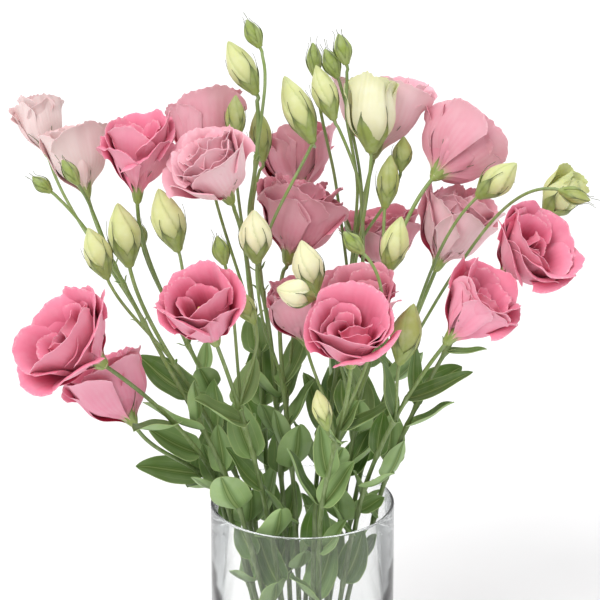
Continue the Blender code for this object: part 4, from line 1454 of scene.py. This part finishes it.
def sepal_sheets(name, head, rng):
    """Five sepals: a keeled green blade against the flank, drawn out to a free dark thread."""
    along = np.linspace(0, 1, SEPAL_ROWS)[:, None]
    across = np.linspace(-1, 1, SEPAL_COLUMNS)[None]
    heights, flanks = flank(head)
    reach = SEPAL_REACH[head.kind] * head.length
    blade = 4.6 if head.kind == "bloom" else 0.42 * head.radius
    sheets = []
    for index in range(5):
        own = reach * rng.uniform(0.85, 1.15)
        height = along * own - 0.4
        inside = np.clip(height, heights[0], heights[-1])
        radial = through(inside, heights[1:], flanks[1:]) + SEPAL_LIFT
        radial = np.maximum(radial, np.minimum(1.0 + 3.0 * along, 2.2))
        half = blade * through(along, SEPAL_STATIONS, SEPAL_WIDTHS)
        half = np.maximum(half, SEPAL_THREAD)
        free = np.clip((along - 0.55) / 0.45, 0, 1) ** 2
        keel = 0.5 * (1 - np.abs(across)) * (1 - 0.8 * along)
        radial = radial + keel + free * rng.uniform(0.2, 3.2)
        sway = free * rng.uniform(-2.5, 2.5)
        angle = 2 * math.pi * (index + 0.3) / 5 + math.radians(head.spin)
        angle = angle + (across * half + sway) / np.maximum(radial, 1.5)
        height = height + 0 * across
        points = np.stack([radial * np.cos(angle), radial * np.sin(angle), height], axis=-1)
        facts = {"along": along, "across": np.abs(across)}
        sheets.append(sheet_object(f"{name}_sepal_{index}", placed(points, head), facts))
    return sheets


def receptacle_line(head):
    """The swollen end of the stem that carries the flower or bud."""
    wide = max(2.2, head.radius * (0.12 if head.kind == "bloom" else 0.34))
    heights = np.array([-5.0, -2.5, -0.5, 1.5, 3.5, 4.6])
    radii = np.array([1.25, 1.6, 0.85 * wide, wide, 0.9 * wide, 0.5 * wide])
    if head.kind != "bloom":
        heights, radii = heights * 0.7, radii * (0.9 if head.kind == "bud" else 0.8)
    points = np.column_stack([np.zeros(6), np.zeros(6), heights])
    return placed(points, head), radii


def make_calyxes():
    for kind in ("bloom", "bud", "tip_bud"):
        for number, head in enumerate(heads_of(kind), 1):
            name = f"{kind}_calyx_{number:02d}"
            rng = np.random.default_rng(CALYX_SEED + number + len(kind) * 40)
            sheets = sepal_sheets(name, head, rng)
            sepals = joined(name + "_sepals", sheets)
            thicken(sepals, SEPAL_THICKNESS)
            obj = joined(name, [tubes(name + "_seat", [receptacle_line(head)], 2), sepals])
            finish_piece(obj, sepal_finish(), "stem_green")


def make_pistils():
    """Anthers on their threads round a two-lobed stigma, in the flowers with open centres."""
    for number, head in enumerate(heads_of("bloom"), 1):
        if head.form != "hollow":
            continue
        rng = np.random.default_rng(PISTIL_SEED + number)
        top = head.length * 0.62
        style = np.array([(0, 0, 2), (0, 0, top * 0.6), (0, 0, top)], float)
        lines = [(style, (1.6, 1.3, 1.0))]
        for side in (-1, 1):
            lobe = [(0, 0, top - 1), (side * 1.6, 0, top + 1.6), (side * 3.4, 0, top + 1.2)]
            lobe, _ = fine_line(np.array(lobe, float), (1, 1, 1), 3)
            lines.append((lobe, (0.9, 1.2, 1.5, 1.8, 1.9, 1.6, 0.9)))
        for index in range(5):
            angle = 2 * math.pi * index / 5 + rng.normal(0, 0.15)
            way = np.array((math.cos(angle), math.sin(angle), 0.0))
            up = np.array((0.0, 0.0, 1.0))
            thread = [1.5 * way + 3 * up, 5 * way + top * 0.55 * up, 6.5 * way + top * 0.82 * up]
            end = thread[-1]
            anther = [end - 0.6 * way - 1.6 * up, end, end + 0.9 * way + 2.2 * up]
            lines.append((np.array(thread), (0.4, 0.35, 0.3)))
            lines.append((np.array(anther), (0.6, 1.3, 0.6)))
        lines = [(placed(points, head), radii) for points, radii in lines]
        obj = tubes(f"pistil_{number:02d}", lines, 2)
        finish_piece(obj, pollen_finish(), "bud_cream")


# ---------------------------------------------------------------- stage


def wide_light(name, place, strength):
    """A soft light from so far off that the floor is as bright at its edge as in the middle."""
    lamp = bpy.data.lights.new(name, "SUN")
    lamp.energy, lamp.angle = strength, LIGHT_WIDTH
    obj = bpy.data.objects.new(name, lamp)
    bpy.context.scene.collection.objects.link(obj)
    obj.location = place
    obj.rotation_euler = (-Vector(place)).to_track_quat("-Z", "Y").to_euler()


def make_stage():
    look = settings("stage")
    bpy.ops.object.select_all(action="DESELECT")
    bpy.ops.mesh.primitive_circle_add(
        vertices=FLOOR_SIDES, radius=FLOOR_RADIUS, fill_type="NGON"
    )
    floor = bpy.context.object
    floor.name = floor.data.name = "pale_floor"
    floor.data.materials.append(floor_finish())

    world = bpy.data.worlds.new("soft_surroundings")
    world.use_nodes = True
    sky = world.node_tree.nodes["Background"]
    sky.inputs["Color"].default_value = (1.0, 1.0, 1.0, 1.0)
    sky.inputs["Strength"].default_value = look.sky
    bpy.context.scene.world = world
    bpy.context.scene.view_settings.view_transform = "Standard"
    # Clear glass turns black at its edges when light may not bounce often enough inside it.
    bpy.context.scene.cycles.glossy_bounces = GLASS_BOUNCES
    bpy.context.scene.cycles.max_bounces = 2 * GLASS_BOUNCES
    wide_light("key_light", KEY_PLACE, look.key)
    wide_light("back_light", BACK_PLACE, look.key * BACK_SHARE)

    camera = bpy.data.cameras.new("camera")
    camera.lens, camera.sensor_width = CAMERA_LENS, CAMERA_SENSOR
    camera.clip_start, camera.clip_end = 0.1, 60.0
    obj = bpy.data.objects.new("camera", camera)
    bpy.context.scene.collection.objects.link(obj)
    tilt = math.radians(CAMERA_ELEVATION)
    away = Vector((0.0, -math.cos(tilt), math.sin(tilt)))
    obj.location = Vector(CAMERA_TARGET) + away * CAMERA_DISTANCE
    obj.rotation_euler = (-away).to_track_quat("-Z", "Y").to_euler()
    bpy.context.scene.camera = obj


# ---------------------------------------------------------------- operators


class BOUQUET_OT_vase(bpy.types.Operator):
    """Glass cylinder with a thick base and a rounded rim"""

    bl_idname = "bouquet.vase"
    bl_label = "Glass Vase"

    def execute(self, context):
        make_vase()
        return {"FINISHED"}


class BOUQUET_OT_stems(bpy.types.Operator):
    """Cut stems with their forks, settled clear of one another"""

    bl_idname = "bouquet.stems"
    bl_label = "Stems"

    def execute(self, context):
        make_stems()
        return {"FINISHED"}


class BOUQUET_OT_leaves(bpy.types.Operator):
    """Leaves in pairs on the stems, and bracts at the forks"""

    bl_idname = "bouquet.leaves"
    bl_label = "Leaves"

    def execute(self, context):
        make_leaves()
        return {"FINISHED"}


class BOUQUET_OT_blooms(bpy.types.Operator):
    """Open flowers, petal by petal"""

    bl_idname = "bouquet.blooms"
    bl_label = "Blooms"

    def execute(self, context):
        make_blooms()
        return {"FINISHED"}


class BOUQUET_OT_buds(bpy.types.Operator):
    """Furled buds of every age"""

    bl_idname = "bouquet.buds"
    bl_label = "Buds"

    def execute(self, context):
        make_buds()
        return {"FINISHED"}


class BOUQUET_OT_calyxes(bpy.types.Operator):
    """Receptacles and thread-like sepals under every flower and bud"""

    bl_idname = "bouquet.calyxes"
    bl_label = "Calyxes"

    def execute(self, context):
        make_calyxes()
        return {"FINISHED"}


class BOUQUET_OT_pistils(bpy.types.Operator):
    """Stigma and stamens of the flowers with open centres"""

    bl_idname = "bouquet.pistils"
    bl_label = "Pistils"

    def execute(self, context):
        make_pistils()
        return {"FINISHED"}


class BOUQUET_OT_stage(bpy.types.Operator):
    """Pale floor, soft light and camera"""

    bl_idname = "bouquet.stage"
    bl_label = "Stage"

    def execute(self, context):
        make_stage()
        return {"FINISHED"}


GROUPS = {
    "vase": VaseSettings, "stem": StemSettings, "leaf": LeafSettings,
    "petal": PetalSettings, "bud": BudSettings, "stage": StageSettings,
}
OPERATORS = (
    BOUQUET_OT_vase, BOUQUET_OT_stems, BOUQUET_OT_leaves, BOUQUET_OT_blooms,
    BOUQUET_OT_buds, BOUQUET_OT_calyxes, BOUQUET_OT_pistils, BOUQUET_OT_stage,
)


class BOUQUET_PT_pieces(bpy.types.Panel):
    """Settings of the bouquet, and a button for each group of its pieces"""

    bl_label = "Bouquet"
    bl_idname = "BOUQUET_PT_pieces"
    bl_space_type = "VIEW_3D"
    bl_region_type = "UI"
    bl_category = "Bouquet"

    def draw(self, context):
        for name, group in GROUPS.items():
            box = self.layout.box()
            box.label(text=name.title())
            for label in group.__annotations__:
                box.prop(settings(name), label)
        for operator in OPERATORS:
            self.layout.operator(operator.bl_idname)


def register():
    for name, group in GROUPS.items():
        bpy.utils.register_class(group)
        setattr(bpy.types.Scene, "bouquet_" + name, bpy.props.PointerProperty(type=group))
    for kind in (*OPERATORS, BOUQUET_PT_pieces):
        bpy.utils.register_class(kind)


def unregister():
    for kind in reversed((*OPERATORS, BOUQUET_PT_pieces)):
        bpy.utils.unregister_class(kind)
    for name, group in GROUPS.items():
        delattr(bpy.types.Scene, "bouquet_" + name)
        bpy.utils.unregister_class(group)


def main():
    register()
    bpy.ops.bouquet.vase()
    bpy.ops.bouquet.stems()
    bpy.ops.bouquet.leaves()
    bpy.ops.bouquet.blooms()
    bpy.ops.bouquet.buds()
    bpy.ops.bouquet.calyxes()
    bpy.ops.bouquet.pistils()
    bpy.ops.bouquet.stage()
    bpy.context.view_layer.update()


if __name__ == "__main__":
    main()
